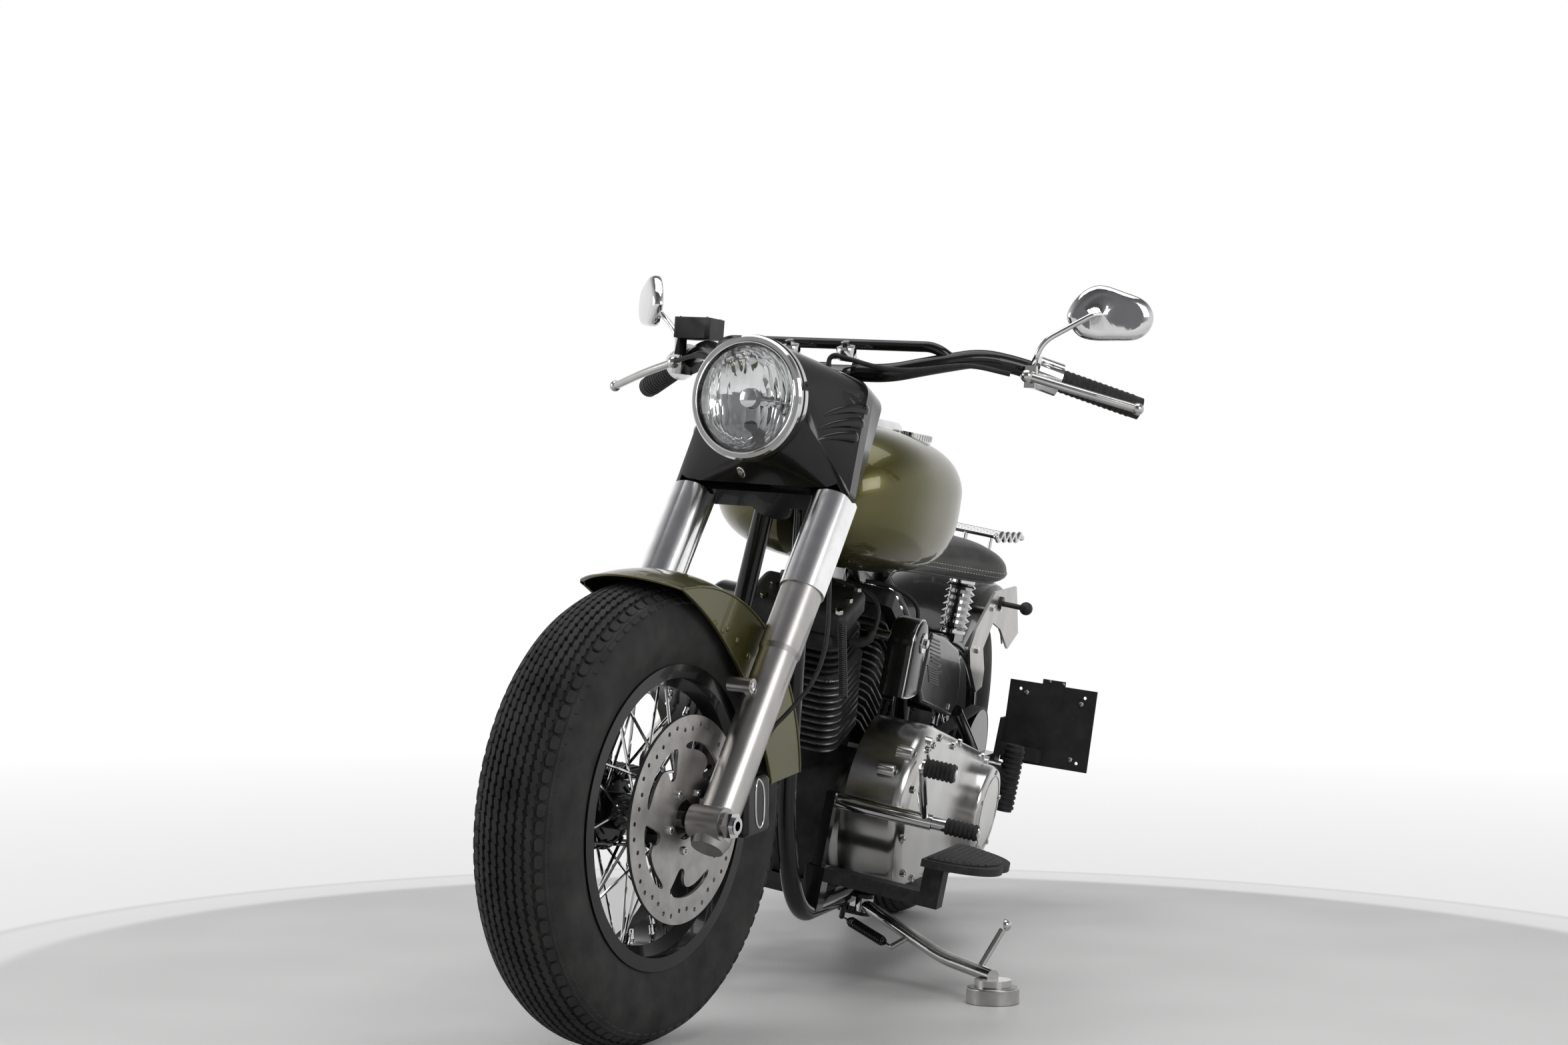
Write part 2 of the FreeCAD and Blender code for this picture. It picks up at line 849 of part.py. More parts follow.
def nacelle_body(inset):
    forward, up = lamp_forward()
    lamp = Vector(lamp_ahead, 0, lamp_up) - forward * (lamp_ring_depth + fit_gap)
    trim = nacelle_round * 0.15
    rings = [
        nacelle_section(inset, nacelle_back - inset, nacelle_back_low_half, nacelle_back_top_half),
        nacelle_section(inset, nacelle_crest - nacelle_round, nacelle_low_half - trim * 2, nacelle_top_half - trim),
        nacelle_section(inset, nacelle_crest + nacelle_round / 2, nacelle_low_half - trim, nacelle_top_half),
        arc_ring(lamp, Vector(0, 1, 0), up, nacelle_lamp_round - inset)]
    return Part.makeLoft(rings, True, True)


def riser_axis(side):
    """Foot and top of one riser, in the fork's directions, from the upper yoke to the bar."""
    bar = from_fork.inverse().multVec(Vector(bar_clamp_x, 0, bar_clamp_z))
    foot = Vector(bar.x, side * riser_half, upper_yoke_up + yoke_thickness + fit_gap)
    return foot, Vector(bar.x, side * riser_half, bar.z)


def nacelle():
    """The lamp's shroud, open behind and, around the fork tubes, below."""
    inner = nacelle_body(nacelle_wall)
    reach = Vector(tube_ahead + slider_top_radius, nacelle_low_half * 2, nacelle_top_up)
    below = inner.copy()
    below.translate(Vector(0, 0, -nacelle_floor))
    below = below.common(box(Vector(nacelle_back * 3, -reach.y, 0), reach))
    holes = [rod(foot, top, riser_radius + fit_gap) for foot, top in (riser_axis(1), riser_axis(-1))]
    return nacelle_body(0).cut(inner).cut(below).cut(holes)


def lamp_profile():
    face = lamp_ring_depth
    return [
        (0, lamp_glass_radius), (0, lamp_radius - lamp_wall), (-lamp_wall, lamp_radius),
        (-face, lamp_radius), (-face, lamp_bucket_radius), (-lamp_bucket_depth, lamp_bucket_radius * 0.84),
        (-lamp_bucket_depth, 0), (-lamp_bucket_depth + lamp_wall, 0),
        (-lamp_bucket_depth + lamp_wall, lamp_bucket_radius * 0.84 - lamp_wall),
        (-lamp_wall * 2, lamp_glass_radius)]


def headlamp():
    centre = Vector(lamp_ahead, 0, lamp_up)
    shell = spun(lamp_profile(), centre, Vector(1, 0, 0))
    shell.rotate(centre, Vector(0, 1, 0), rake - lamp_pitch)
    rim_radius = lamp_glass_radius - fit_gap
    back = -lamp_wall
    sag = Vector(lamp_ahead + lamp_lens_dome + back, 0, lamp_up)
    edge = Vector(lamp_ahead + back, 0, lamp_up + rim_radius)
    half_way = Vector(lamp_ahead + back + lamp_lens_dome * 0.75, 0, lamp_up + rim_radius / 2)
    foot = Vector(lamp_ahead + back - lamp_wall, 0, lamp_up + rim_radius)
    inner = Vector(lamp_ahead + back - lamp_wall, 0, lamp_up)
    wire = Part.Wire([arc_through(sag, half_way, edge), Part.LineSegment(edge, foot).toShape(),
                      Part.LineSegment(foot, inner).toShape(), Part.LineSegment(inner, sag).toShape()])
    lens = Part.Face(wire).revolve(centre, Vector(1, 0, 0), 360.0)
    lens.rotate(centre, Vector(0, 1, 0), rake - lamp_pitch)
    return shell, lens


# Bar and controls, drawn on the upright machine

def bar_points(side):
    start = Vector(grip_start_x, side * grip_start_y, grip_start_z)
    end = Vector(grip_end_x, side * grip_end_y, grip_end_z)
    run = (end - start).normalize()
    return [
        Vector(bar_rise_x, side * bar_rise_y, bar_rise_z), Vector(bar_peak_x, side * bar_peak_y, bar_peak_z),
        start - run * bar_straight, end]


def handlebar():
    left = [Vector(bar_clamp_x, bar_clamp_half, bar_clamp_z)] + bar_points(1)
    right = [Vector(bar_clamp_x, -bar_clamp_half, bar_clamp_z)] + bar_points(-1)
    bar = bent_tube(list(reversed(right)) + left, bar_radius, bar_bend)
    foot = (Vector(bar_rise_x, bar_rise_y, bar_rise_z) + Vector(bar_peak_x, bar_peak_y, bar_peak_z)) * 0.5
    brace = bent_tube([
        Vector(foot.x, -foot.y, foot.z), Vector(brace_x, -brace_y + brace_radius * 3, brace_z),
        Vector(brace_x, brace_y - brace_radius * 3, brace_z), foot], brace_radius, bar_bend)
    return fused([bar, brace])


def risers():
    pieces = []
    for side in (1, -1):
        foot, top = riser_axis(side)
        post = rod(foot, top, riser_radius)
        reach = Vector(0, riser_clamp_half, 0)
        clamp = rod(top - reach, top + reach, bar_radius + riser_wall)
        hole = rod(top - reach * 2, top + reach * 2, bar_radius + fit_gap)
        pieces.append(fused([post, clamp]).cut(hole))
    return pieces


def grips():
    start = Vector(grip_start_x, grip_start_y, grip_start_z)
    end = Vector(grip_end_x, grip_end_y, grip_end_z)
    run = (end - start).normalize()
    sleeve = rod(start, end + run * grip_radius * 0.5, grip_radius)
    hole = rod(start - run * grip_radius, end + run * fit_gap, bar_radius + fit_gap)
    return both(sleeve.cut(hole))


def levers():
    end = Vector(lever_ball_x, lever_ball_y, lever_ball_z)
    root = Vector(lever_pivot_x, perch_y, grip_start_z)
    knee = root + (end - root) * 0.45 + Vector(grip_radius * 0.5, 0, 0)
    blade = bent_tube([root, knee, end], lever_radius)
    lever = fused([blade, ball(end, lever_ball_radius), ball(root, lever_radius * 1.6)])
    return both(lever)


def control_housing():
    """The switch housing beside the grip with the perch that carries lever and mirror."""
    start = Vector(grip_start_x, grip_start_y, grip_start_z)
    run = (Vector(grip_end_x, grip_end_y, grip_end_z) - start).normalize()
    foot = start - run * fit_gap
    housing = rod(foot, foot - run * grip_radius * 2.2, grip_radius * 1.5)
    pivot_gap = lever_radius * 1.6 + fit_gap
    perch = box(Vector(grip_start_x + grip_radius, perch_y - perch_width / 2, grip_start_z - perch_height / 2),
                Vector(lever_pivot_x - pivot_gap, perch_y + perch_width / 2, grip_start_z + perch_height / 2))
    hole = rod(start + run * grip_radius, foot - run * grip_radius * 5, bar_radius + fit_gap)
    return fused([housing, perch]).cut(hole)


def reservoir():
    """The brake fluid's box above the bar, on a post from the right perch."""
    low = bar_peak_z + bar_radius + fit_gap
    side = reservoir_y + reservoir_width / 2
    body = box(Vector(mirror_base_x - reservoir_length * 0.2, -side, low),
               Vector(mirror_base_x + reservoir_length * 0.8, reservoir_width - side, low + reservoir_height))
    body = body.makeFillet(reservoir_height * 0.2, [e for e in body.Edges if abs(e.tangentAt(0).z) > 0.5])
    front = lever_pivot_x - lever_radius * 1.6 - fit_gap
    outer = perch_y - mirror_stalk_radius - fit_gap
    post = box(Vector(front - perch_width * 0.2, -outer, grip_start_z + lever_radius * 2),
               Vector(front + perch_width, perch_width * 0.8 - perch_y, low + reservoir_height / 2))
    return fused([body, post])


def mirror_outline(centre, size_share):
    # Shares of the half width, from the inner tip outwards, and of the half height
    outline_shares = [(-1.0, -0.05), (-0.80, 0.55), (-0.36, 1.0), (0.3, 0.84), (0.85, 0.5), (1.0, 0.1),
                      (0.95, -0.35), (0.75, -0.68), (0.2, -0.84), (-0.36, -0.88), (-0.7, -0.75), (-0.9, -0.45)]
    points = [centre + Vector(0, along * mirror_half_width * size_share, up * mirror_half_height * size_share)
              for along, up in outline_shares]
    curve = Part.BSplineCurve()
    curve.interpolate(Points=points, PeriodicFlag=True)
    return Part.Wire(curve.toShape())


def mirror(turn):
    centre = Vector(mirror_x, mirror_y, mirror_z)
    front = Vector(mirror_depth / 2, 0, 0)
    head = Part.makeLoft([mirror_outline(centre - front, 1.0), mirror_outline(centre, 1.0),
                          mirror_outline(centre + front, 0.7)], True, False)
    head.rotate(centre, Vector(0, 0, 1), turn)
    base = Vector(mirror_base_x, perch_y, grip_start_z + perch_height / 2 + mirror_stalk_radius * 0.4)
    stalk = bent_tube([base, Vector(mirror_base_x, mirror_bend_y, mirror_bend_z),
                       centre + Vector(mirror_depth * 1.1, -grip_radius, 0),
                       centre], mirror_stalk_radius)
    return fused([head, stalk])


def control_cables():
    """The clutch cable and the brake hose, held along the bar and led into the nacelle."""
    cable_radius = lever_radius * 0.6
    out = bar_radius * 1.6
    entry = from_fork.multVec(Vector(nacelle_crest + out, nacelle_back_top_half * 0.4, nacelle_top_up))
    left = bent_tube([
        Vector(lever_pivot_x + out, perch_y - perch_width, grip_start_z),
        Vector(bar_peak_x + out * 1.7, bar_peak_y, bar_peak_z - bar_radius),
        Vector(bar_rise_x + out * 2.0, bar_rise_y * 0.8, bar_clamp_z),
        entry + Vector(0, 0, bar_radius), entry - Vector(0, 0, bar_radius)], cable_radius)
    left = left.cut(moved(nacelle_body(0), steered_up(fit_gap)))
    return [left, mirrored(left)]


def steered_up(rise):
    """The fork's place, raised along the steering axis."""
    return from_fork.multiply(Placement(Vector(0, 0, rise), Rotation()))


# Front fender

def arch(centre, radius, half, skirt, wall, start, sweep):
    """A crowned guard turned over the wheel, open below, with side skirts."""
    crown = half * 0.24
    side_out = radius - crown

    def section(inset):
        return [
            centre + Vector(0, -half + inset, side_out - skirt),
            centre + Vector(0, -half + inset, side_out - inset),
            centre + Vector(0, 0, radius - inset),
            centre + Vector(0, half - inset, side_out - inset),
            centre + Vector(0, half - inset, side_out - skirt)]

    outer = section(0)
    inner = section(wall)
    edges = [
        Part.LineSegment(outer[0], outer[1]).toShape(), arc_through(outer[1], outer[2], outer[3]),
        Part.LineSegment(outer[3], outer[4]).toShape(), Part.LineSegment(outer[4], inner[4]).toShape(),
        Part.LineSegment(inner[4], inner[3]).toShape(), arc_through(inner[3], inner[2], inner[1]),
        Part.LineSegment(inner[1], inner[0]).toShape(), Part.LineSegment(inner[0], outer[0]).toShape()]
    band = Part.Face(Part.Wire(edges)).revolve(centre, Vector(0, 1, 0), sweep)
    band.rotate(centre, Vector(0, 1, 0), start)
    return band


def front_fender():
    radius = front_tyre_radius + fender_gap + fender_wall
    band = arch(front_axle, radius, fender_half, skirt_depth, fender_wall,
                -fender_back_turn, fender_front_turn + fender_back_turn)
    # Shares of the fender's radius, ahead of and above the axle, on the skirt's lower edge
    edge_shares = [(0.02, 0.86), (-0.43, 0.51), (-0.66, 0.17)]
    points = [front_axle + Vector(along * radius, 0, up * radius) for along, up in edge_shares]
    edge = Part.Circle(points[0], points[1], points[2])
    reach = Vector(0, fender_half * 2, 0)
    return band.cut(rod(edge.Center - reach, edge.Center + reach, edge.Radius))


# Frame and swingarm

def head_point(up):
    return from_fork.multVec(Vector(0, 0, up))


def spine_end():
    return Vector(backbone_back_x, 0, backbone_back_z)


def neck_point():
    return head_point((lower_yoke_up + yoke_thickness + upper_yoke_up) / 2 - backbone_height * 0.27)


def frame():
    end = spine_end()
    pieces = [head_and_spine()]
    for side in (1, -1):
        pieces += frame_loop(side)
        pieces += frame_brackets(side)
    pieces += engine_mounts()
    pieces += stand_clevis()
    tongue_top = seat_low - fit_gap
    pieces.append(box(Vector(seat_nose - seat_tongue * 2, -seat_tongue, tongue_top - seat_tongue_depth),
                      Vector(end.x, seat_tongue, tongue_top)))
    hole = rod(head_point(lower_yoke_up), head_point(upper_yoke_up), stem_radius + fit_gap)
    return fused(pieces).cut(hole)


def swing_arm_side(side):
    outer = swing_half + swing_width / 2
    inner = swing_half - swing_width / 2
    front_outer = pivot_half
    front_inner = pivot_half - swing_width
    front = post_foot_x - frame_tube - fit_gap - pivot_radius
    low = rear_tyre_radius - swing_height / 2
    outline = [(-swing_height, inner), (-swing_height, outer), (swing_bend_back, outer),
               (swing_bend_front, front_outer), (front, front_outer), (front, front_inner),
               (swing_bend_front, front_inner), (swing_bend_back, inner)]
    arm = slab([Vector(x, y, low) for x, y in outline], Vector(0, 0, swing_height))
    hole = rod(Vector(0, inner - swing_width, rear_tyre_radius), Vector(0, outer + swing_width, rear_tyre_radius),
               axle_radius + fit_gap)
    arm = arm.cut(hole)
    upper = bent_tube([
        Vector(swing_height, swing_half, rear_tyre_radius),
        Vector(swing_upper_x * 0.55, swing_half, (rear_tyre_radius + swing_upper_z) / 2),
        Vector(swing_upper_x, swing_half, swing_upper_z)], swing_width / 2)
    upper = upper.cut(hole)
    return [arm, upper] if side > 0 else [mirrored(arm), mirrored(upper)]


def swingarm():
    front = post_foot_x - frame_tube - fit_gap - pivot_radius
    half = Vector(0, pivot_half, 0)
    pivot = Vector(front, 0, post_foot_z)
    cross = Vector(0, swing_half, 0)
    upper = Vector(swing_upper_x, 0, swing_upper_z)
    pieces = [rod(pivot - half, pivot + half, pivot_radius),
              rod(upper - cross, upper + cross, swing_width / 2)]
    return fused(pieces + swing_arm_side(1) + swing_arm_side(-1))


# Engine

def fin_plate(low, half_length, half_width):
    plate = box(Vector(-half_length, -half_width, low), Vector(half_length, half_width, low + fin_thickness))
    return plate.makeFillet(fin_corner, [e for e in plate.Edges if abs(e.tangentAt(0).z) > 0.5])


def cylinder_pair(side):
    """One cylinder with its finned barrel and head, trimmed where it meets the other."""
    pieces = [Part.makeCylinder(barrel_radius, head_top - barrel_foot, Vector(0, 0, barrel_foot))]
    for index in range(barrel_fins):
        pieces.append(fin_plate(fin_start + fin_pitch * index, fin_half_length, fin_half_width))
    head_low = fin_start + fin_pitch * barrel_fins
    pieces.append(box(Vector(-barrel_radius, -barrel_radius, head_low), Vector(barrel_radius, barrel_radius, head_top)))
    for index in range(head_fins):
        pieces.append(fin_plate(head_low + fin_pitch * index, fin_half_length * 0.92, fin_half_width * 0.92))
    shape = placed_on_crank(fused(pieces), side)
    edges = sorted((crank_x + side * fit_gap / 2, crank_x - side * rocker_top))
    return shape.cut(box(Vector(edges[0], -rocker_top, crank_z), Vector(edges[1], rocker_top, crank_z + rocker_top)))


def placed_on_crank(shape, side):
    copy = shape.copy()
    copy.rotate(Vector(), Vector(0, 1, 0), side * twin_angle / 2)
    copy.translate(Vector(crank_x, 0, crank_z))
    return copy


def rocker_cover(side):
    base = head_top + fit_gap
    body = box(Vector(-rocker_half_length, -rocker_right_half, base),
               Vector(rocker_half_length, rocker_half_width, rocker_top))
    body = body.makeFillet(fin_corner * 0.5, [e for e in body.Edges if e.BoundBox.ZMin > base + fit_gap
                                              or abs(e.tangentAt(0).z) > 0.5])
    return placed_on_crank(body, side)


def pushrods(side):
    rods = []
    y = -fin_half_width - pushrod_radius - fit_gap
    for lean_side in (-1, 1):
        foot = Vector(lean_side * pushrod_radius * 1.5, y, crank_case_radius + fit_gap)
        top = Vector(lean_side * pushrod_radius * 3.0, y, head_top - fit_gap * 2)
        rods.append(placed_on_crank(rod(foot, top, pushrod_radius), side))
    return rods


def crankcase():
    crank = rod(Vector(crank_x, -crank_case_half, crank_z), Vector(crank_x, crank_case_half, crank_z),
                crank_case_radius)
    gearbox = box(Vector(gearbox_back, -crank_case_half, gearbox_low),
                  Vector(gearbox_front, crank_case_half, gearbox_top))
    gearbox = gearbox.makeFillet(fin_corner, [e for e in gearbox.Edges if abs(e.tangentAt(0).y) > 0.5])
    cam_face = -crank_case_half - cam_cover_depth
    cam = rod(Vector(crank_x, cam_face, crank_z), Vector(crank_x, -crank_case_half, crank_z), crank_case_radius)
    cam = cam.makeFillet(fin_corner * 0.3, [e for e in cam.Edges if e.BoundBox.YMax < cam_face + fit_gap])
    pulley = rod(Vector(belt_front_x, 0, belt_front_z), Vector(belt_front_x, belt_y + belt_width / 2, belt_front_z),
                 belt_front_radius)
    decks = []
    for side in (1, -1):
        deck = Part.makeCylinder(barrel_radius, barrel_foot - fit_gap)
        decks.append(placed_on_crank(deck, side))
    return fused([crank, gearbox, cam, pulley] + decks)


def twin_outline(y, front, back):
    """A closed outline of two arcs and the two straight lines that touch them."""
    front_x, front_z, front_r = front
    back_x, back_z, back_r = back
    span = math.hypot(front_x - back_x, front_z - back_z)
    base = math.atan2(front_z - back_z, front_x - back_x)
    open_turn = math.acos((back_r - front_r) / span)

    def at(x, z, radius, turn):
        return Vector(x + radius * math.cos(turn), y, z + radius * math.sin(turn))

    top = base + open_turn
    low = base - open_turn
    front_top, front_low = at(front_x, front_z, front_r, top), at(front_x, front_z, front_r, low)
    back_top, back_low = at(back_x, back_z, back_r, top), at(back_x, back_z, back_r, low)
    return Part.Face(Part.Wire([
        arc_through(front_low, at(front_x, front_z, front_r, base), front_top),
        Part.LineSegment(front_top, back_top).toShape(),
        arc_through(back_top, at(back_x, back_z, back_r, base + math.pi), back_low),
        Part.LineSegment(back_low, front_low).toShape()]))


def primary_cover():
    outline = twin_outline(primary_inner, (primary_front_x, primary_front_z, primary_front_radius),
                           (primary_back_x, primary_back_z, primary_back_radius))
    body = outline.extrude(Vector(0, primary_outer - primary_inner, 0))
    body = body.makeFillet(primary_round, [e for e in body.Edges if e.BoundBox.YMin > primary_outer - fit_gap])
    derby = rod(Vector(primary_back_x, primary_outer - primary_round, primary_back_z),
                Vector(primary_back_x, derby_outer, primary_back_z), derby_radius)
    derby = derby.makeFillet(derby_round, [e for e in derby.Edges if e.BoundBox.YMin > derby_outer - fit_gap])
    seat_face = crank_case_half + fit_gap
    seat = rod(Vector(crank_x, seat_face, crank_z), Vector(crank_x, primary_inner + primary_round, crank_z),
               primary_seat_radius)
    return fused([body, derby, seat])


def v_gap(z):
    """Half the way between the two cylinders' fins at a height."""
    turn = math.radians(twin_angle / 2)
    return (z - crank_z) * math.tan(turn) - fin_half_length / math.cos(turn)


def air_cleaner():
    centre = Vector(cleaner_x, 0, cleaner_z)
    face = -cleaner_outer
    body = rod(centre + Vector(0, face, 0), centre - Vector(0, cleaner_inner, 0), cleaner_radius)
    body = body.makeFillet(primary_round * 0.6, [e for e in body.Edges if e.BoundBox.YMax < face + fit_gap])
    throat = rod(Vector(crank_x, -cleaner_inner - fin_thickness, cleaner_z), Vector(crank_x, 0, cleaner_z), pipe_radius)
    reach = Vector(v_gap(cleaner_z - manifold_radius) - fit_gap, 0, 0)
    middle = Vector(crank_x, 0, cleaner_z)
    return fused([body, throat, rod(middle - reach, middle + reach, manifold_radius)])


def exhaust():
    turn = math.radians(twin_angle / 2)
    out = fin_half_length * 0.92 + fit_gap
    down = Vector(math.cos(turn), 0, -math.sin(turn))
    port = placed_point(1, Vector(out, -fin_corner, head_top * 0.9))
    front_pipe = bent_tube([
        port, port + down * (pipe_radius * 2.2),
        Vector(port.x + pipe_radius * 3, -muffler_y / 2, port.z - pipe_radius * 4),
        Vector(port.x + pipe_radius * 2, -muffler_y, port.z - pipe_radius * 9),
        Vector(pipe_turn_x, -muffler_y, front_muffler_z),
        Vector(muffler_front_x, -muffler_y, front_muffler_z)], pipe_radius)
    back = Vector(-math.cos(turn), 0, -math.sin(turn))
    port = placed_point(-1, Vector(-out, -fin_corner, head_top * 0.9))
    start = muffler_front_x - rear_muffler_start
    rear_pipe = bent_tube([
        port, port + back * (pipe_radius * 1.8),
        Vector(port.x - pipe_radius * 2, -muffler_y / 2, port.z - pipe_radius * 2.6),
        Vector(port.x - pipe_radius * 2.6, -muffler_y, port.z - pipe_radius * 6),
        Vector(start + pipe_radius * 2, -muffler_y, rear_muffler_z),
        Vector(start, -muffler_y, rear_muffler_z)], pipe_radius)
    return [fused([front_pipe, muffler(muffler_front_x, front_muffler_z)]),
            fused([rear_pipe, muffler(start, rear_muffler_z)])]


def placed_point(side, point):
    turn = Rotation(Vector(0, 1, 0), side * twin_angle / 2)
    return turn.multVec(point) + Vector(crank_x, 0, crank_z)


def muffler(front, z):
    length = front - muffler_back_x
    mouth = muffler_radius * 0.72
    return spun([
        (0, 0), (0, pipe_radius), (muffler_radius * 2, muffler_radius), (length, muffler_radius), (length, mouth),
        (length - muffler_radius, mouth), (length - muffler_radius, 0)],
        Vector(front, -muffler_y, z), Vector(-1, 0, 0))


def tank_body():
    length = tank_front - tank_back
    # Shares of length, width, belly rise and crest drop, from the neck to the seat
    section_shares = [
        (1.0, 0.40, 0.28, 0.40), (0.96, 0.62, 0.16, 0.22), (0.84, 0.86, 0.05, 0.05), (0.66, 0.98, 0.0, 0.0),
        (0.48, 1.0, 0.0, 0.01), (0.28, 0.86, 0.08, 0.07), (0.10, 0.62, 0.22, 0.22), (0.0, 0.42, 0.32, 0.36)]
    height = tank_crest - tank_belly
    rings = []
    for along_share, width_share, belly_share, crest_share in section_shares:
        low = tank_belly + height * belly_share
        high = tank_crest - height * crest_share
        rings.append(oval(Vector(tank_back + length * along_share, 0, (low + high) / 2), Vector(0, 1, 0),
                          Vector(0, 0, 1), tank_half * width_share, (high - low) / 2, tank_power, 24))
    return Part.makeLoft(rings, True, False)


# Tanks, covers and small bodies

def spine_height(x):
    """Height of the backbone's middle at a place along the machine."""
    neck = neck_point() - Vector(head_radius * 0.6, 0, 0)
    end = spine_end()
    return end.z + (x - end.x) / (neck.x - end.x) * (neck.z - end.z)


def rear_rail_y():
    return rear_fender_half + fit_gap + rear_rail_tube


def head_and_spine():
    head_low = lower_yoke_up + yoke_thickness + head_gap
    head_high = upper_yoke_up - head_gap
    head = spun([(head_low, 0), (head_low, head_radius), (head_high, head_radius), (head_high, 0)],
                fork_foot, steer_axis)
    neck = neck_point() - Vector(head_radius * 0.6, 0, 0)
    rise = Vector(0, 0, backbone_height / 2)
    end = spine_end()
    width = Vector(0, backbone_half, 0)
    spine = slab([neck + rise - width, neck - rise - width, end - rise - width, end + rise - width], width * 2)
    return head.fuse(spine)


def frame_loop(side):
    """Down tube, bottom rail, seat post and rear rail on one side."""
    top = head_point(lower_yoke_up + yoke_thickness + head_radius * 1.5)
    loop = bent_tube([
        Vector(top.x - head_radius * 0.8, side * downtube_top_half, top.z),
        Vector(downtube_knee_x, side * downtube_knee_half, downtube_knee_z),
        Vector(rail_front, side * rail_half, rail_height),
        Vector(rail_turn_x, side * rail_half, rail_height),
        Vector(rail_back, side * rail_inner_half, rail_back_z),
        Vector(post_foot_x, side * rail_inner_half, post_foot_z),
        Vector(post_knee_x, side * rail_inner_half, post_knee_z),
        Vector(backbone_back_x, side * backbone_half, backbone_back_z - frame_tube)], frame_tube, rail_height)
    y = side * rear_rail_y()
    rail = bent_tube([
        Vector(rear_rail_start_x, side * rail_inner_half, rear_rail_start_z),
        Vector(rear_rail_x, y, rear_rail_z),
        Vector(rear_rail_bolt_x, y, rear_rail_bolt_z),
        Vector(rear_rail_end_x, y, rear_rail_end_z)], rear_rail_tube)
    return [loop, rail]


def frame_brackets(side):
    """Perch for the seat spring, oil tank and board brackets, and the lower tab of the stand's spring."""
    low = Vector(rear_rail_x - perch_reach, spring_y - perch_reach, rear_rail_z)
    perch = box(low, Vector(rear_rail_x + perch_reach, spring_y + perch_reach, rear_rail_z + spring_perch))
    perch = perch.cut(box(Vector(low.x, rear_rail_y() + rear_rail_tube, low.z),
                          low + Vector(perch_reach * 2, perch_reach * 2, spring_perch)))
    bracket = box(Vector(board_bracket_x - board_bracket_half, rail_half - frame_tube, rail_height),
                  Vector(board_bracket_x + board_bracket_half, rail_half + frame_tube, board_bracket_top))
    tank_z = (oil_tank_low + oil_tank_top) / 2
    post_x = post_foot_x + (tank_z - post_foot_z) / (post_knee_z - post_foot_z) * (post_knee_x - post_foot_x)
    hanger = box(Vector(oil_tank_front + fit_gap, oil_tank_half - frame_tube, tank_z - frame_tube / 2),
                 Vector(post_x, rail_inner_half, tank_z + frame_tube / 2))
    pieces = [perch, bracket, hanger]
    if side > 0:
        pieces.append(box(Vector(board_bracket_x - shift_bracket_half, rail_half - frame_tube / 2, rail_height),
                          Vector(board_bracket_x + shift_bracket_half, rail_half + frame_tube / 2,
                                 shift_pivot_z + shift_peg_radius)))
        return pieces
    return [mirrored(piece) for piece in pieces]


def engine_mounts():
    """Cross members whose tops meet the crankcase and the gearbox from below."""
    crank_floor = crank_z - crank_case_radius - fit_gap
    gear_floor = gearbox_low - fit_gap
    gear_x = (gearbox_back + gearbox_front) / 2
    mounts = []
    for x, floor in ((crank_x, crank_floor), (gear_x, gear_floor)):
        mounts.append(box(Vector(x - engine_mount_half, -rail_half, rail_height - frame_tube / 2),
                          Vector(x + engine_mount_half, rail_half, floor)))
    return mounts


def stand_clevis():
    """Two ears beside the left rail, above and below the stand's eye, and a tab for its spring."""
    pivot = on_machine(stand_pivot())
    along = on_machine(stand_pivot() + stand_axis()) - pivot
    inward = Vector(0, rail_half - pivot.y, rail_height - pivot.z)
    inward = inward - along * inward.dot(along)
    wide = along.cross(inward).normalize() * stand_eye_radius
    reach = stand_eye_half + fit_gap
    tip = along * (reach + stand_ear)
    pieces = [rod(pivot + inward - tip, pivot + inward + tip, stand_eye_radius * 0.7)]
    for side in (1, -1):
        base = pivot + along * (side * reach)
        depth = along * (side * stand_ear)
        pieces.append(rod(base, base + depth, stand_eye_radius))
        pieces.append(slab([base + wide, base - wide, base + inward - wide, base + inward + wide], depth))
    start, end = spring_points()
    hook = on_machine(start - (end - start).normalize() * (stand_tab_radius + fit_gap))
    return pieces + [rod(Vector(hook.x, hook.y, rail_height), hook, stand_tab_radius), ball(hook, stand_tab_radius)]


def fuel_tank():
    """The tank's shell form with the tunnel that sits over the backbone."""
    length = tank_front - tank_back
    width = Vector(0, backbone_half + tunnel_gap, 0)
    ends = [tank_back - length, tank_front + length]
    top = [Vector(x, 0, spine_height(x) + backbone_height / 2 + fit_gap) for x in ends]
    floor = [Vector(x, 0, 0) for x in reversed(ends)]
    tunnel = slab([p - width for p in top + floor], width * 2)
    return tank_body().cut(tunnel)


def console():
    low = tank_crest - console_rise * 3
    outline = [oval(Vector((console_front + console_back) / 2, 0, z), Vector(1, 0, 0), Vector(0, 1, 0),
                    (console_front - console_back) / 2 * share, console_half * share, 2.6)
               for z, share in ((low, 1.0), (tank_crest + console_rise * 0.4, 1.0),
                                (tank_crest + console_rise, 0.86))]
    body = Part.makeLoft(outline, True, False)
    caps = [rod(Vector(cap_x, side * cap_y, low), Vector(cap_x, side * cap_y, tank_crest + fit_gap), cap_radius)
            for side in (1, -1)]
    raised = tank_body()
    raised.translate(Vector(0, 0, fit_gap))
    return [piece.cut(raised) for piece in [body] + caps]


def oil_tank():
    body = box(Vector(oil_tank_back, -oil_tank_half, oil_tank_low), Vector(oil_tank_front, oil_tank_half, oil_tank_top))
    return body.makeFillet(oil_tank_round, body.Edges)


